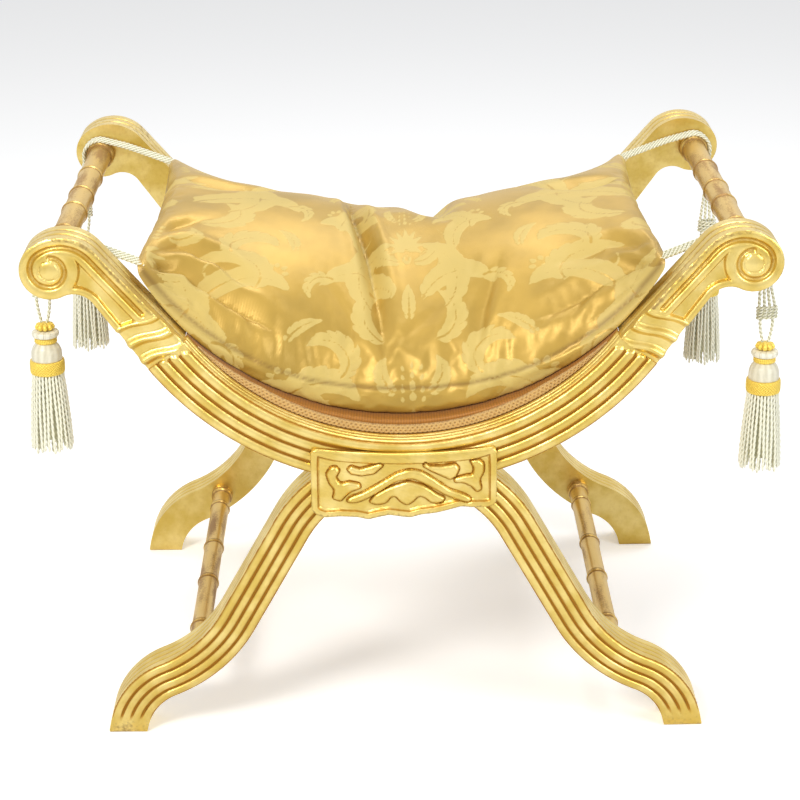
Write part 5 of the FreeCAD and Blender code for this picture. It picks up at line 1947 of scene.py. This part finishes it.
    def blown(self, piece: bpy.types.Object, rest: Array) -> Array:
        """Where the air carries the cloth's points, which start at rest, in metres."""
        cloth = piece.modifiers.new("air", "CLOTH")
        cloth.settings.quality = 3
        cloth.settings.mass = 0.25
        cloth.settings.tension_stiffness = 12.0
        cloth.settings.compression_stiffness = 8.0
        cloth.settings.bending_stiffness = 0.4
        cloth.settings.use_pressure = True
        cloth.settings.uniform_pressure_force = 4.0
        cloth.settings.effector_weights.gravity = 0.0
        cloth.point_cache.frame_start = 1
        cloth.point_cache.frame_end = self.frames
        for number in range(1, self.frames + 1):
            bpy.context.scene.frame_set(number)
        full = self.applied(piece)
        bpy.context.scene.frame_set(1)
        travel = coordinates(full) - rest
        bpy.data.meshes.remove(full)
        _, shut = self.creases(rest / MM)
        limit = self.most_travel * (1 - 0.8 * shut) * MM
        share = np.minimum(1.0, limit / np.maximum(np.linalg.norm(travel, axis=1), 1e-9))
        return rest + travel * share[:, None]

    def plumped(self, piece: bpy.types.Object) -> bpy.types.Object:
        """Remeshes the shell, fills it with air as cloth, and cuts its faces finer."""
        remesh = piece.modifiers.new("even", "REMESH")
        remesh.mode = "VOXEL"
        remesh.voxel_size = self.voxel * MM
        remesh.use_smooth_shade = True
        even = self.applied(piece)
        piece.data = even
        move(even, self.blown(piece, coordinates(even)))
        smooth = piece.modifiers.new("finer", "SUBSURF")
        smooth.levels = 1
        smooth.render_levels = 1
        piece.data = self.applied(piece)
        bpy.data.meshes.remove(even)
        return piece

    def pressed(self, mesh: bpy.types.Mesh) -> None:
        """Folds the top, sinks the seams and rests the cushion on the seat."""
        points = coordinates(mesh) / MM
        pull, _ = self.creases(points)
        ray = (points - [0.0, 0.0, CUSHION_AXIS[1]]) * [1.0, 0.0, 1.0]
        size = np.maximum(np.linalg.norm(ray, axis=1), 1e-6)
        ray /= size[:, None]
        height = CUSHION_RADIUS - size
        points += ray * (pull * ease(5.0, 20.0, height))[:, None]
        gap = self.seam_gap(points)
        points += ray * (1.6 * bell_curve(gap, 2.6))[:, None]
        size = np.linalg.norm((points - [0.0, 0.0, CUSHION_AXIS[1]]) * [1.0, 0.0, 1.0], axis=1)
        floor = CUSHION_RADIUS + self.lip * ease(208.0, 215.0, np.abs(points[:, 1]))
        points -= ray * np.maximum(0.0, size - floor)[:, None]
        move(mesh, points * MM)

    def polar(self, points: Array) -> tuple[Array, Array]:
        """Each point's angle along the cushion, in degrees, and its height over the seat."""
        ray = points[:, [0, 2]] - CUSHION_AXIS
        turn = np.degrees(np.arctan2(ray[:, 0], -ray[:, 1]))
        return turn, CUSHION_RADIUS - np.linalg.norm(ray, axis=1)

    def seam_gap(self, points: Array) -> Array:
        """The distance from each point to the stitched seam, between top and boxing."""
        turn, height = self.polar(points)
        turn = np.clip(turn, -CUSHION_HALF, CUSHION_HALF)
        boxing, _, half, _ = self.section(turn)
        seam = (boxing - 2.0) * (1.0 - 0.45 * np.abs(turn) / CUSHION_HALF)
        return np.abs(height - seam) + 40.0 * ease(14, 30, half - np.abs(points[:, 1]))

    def pattern(self, points: Array) -> tuple[Array, Array]:
        """Each point's coordinates on the cloth: along the cushion, and across its top."""
        turn, height = self.polar(points)
        boxing, crown, half, bulge = self.section(np.clip(turn, -CUSHION_HALF, CUSHION_HALF))
        seam = half - bulge
        ball = (seam**2 + crown**2) / (2 * crown)
        angle = np.arctan2(points[:, 1], np.maximum(height - (boxing + crown - ball), 1.0))
        spread = np.arcsin(np.clip(seam / ball, -1, 1))
        over = ball * angle
        beside = np.sign(points[:, 1]) * (ball * spread + np.maximum(boxing - height, 0))
        across = np.where(height > boxing, over, beside)
        return np.radians(turn) * self.cloth_radius, across

    def build(self) -> None:
        """The shell, the plumping, the seams and the damask."""
        grid = self.shell()
        skin = Surface()
        skin.grid(grid)
        skin.close(grid)
        piece = self.plumped(skin.make("cushion_damask", 75.0))
        mesh = piece.data
        self.pressed(mesh)
        points = coordinates(mesh) / MM
        along, across = self.pattern(points)
        carry(mesh, "leaf_edge", Motif().field(along - 8.0, across + 66.0))
        # Painted shade along the sunk seam, for the damask to darken.
        carry(mesh, "seam_shade", bell_curve(self.seam_gap(points), 1.9))
        corners = np.empty(len(mesh.loops), np.int32)
        mesh.loops.foreach_get("vertex_index", corners)
        flat = np.stack([along, across], -1)[corners] * MM
        layer = mesh.uv_layers.get("UVMap") or mesh.uv_layers.new(name="UVMap")
        layer.data.foreach_set("uv", flat.astype(np.float32).ravel())
        mesh.polygons.foreach_set("use_smooth", np.ones(len(mesh.polygons), bool))
        nodes = ["cushion_cover", "cushion_filling"]
        placed(piece, Finish.DAMASK.material, "frame", nodes)


# Everything.


def dress_hidden() -> None:
    """Gives the plain CAD pieces that stay their wood."""
    for node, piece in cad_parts.items():
        if node.endswith("dowels") or node == "seat_slats":
            piece.data.materials.clear()
            piece.data.materials.append(Finish.WOOD.material)
            log.info("%s keeps its CAD form", node)


def main() -> None:
    """Builds the stool: camera and cords first, then frame, seat and cushion."""
    logging.basicConfig(level=logging.INFO, format="%(message)s")
    Studio().build()
    Ties().build()
    GiltFrame().build()
    Seat().build()
    Cushion().build()
    dress_hidden()


if __name__ == "__main__":
    main()
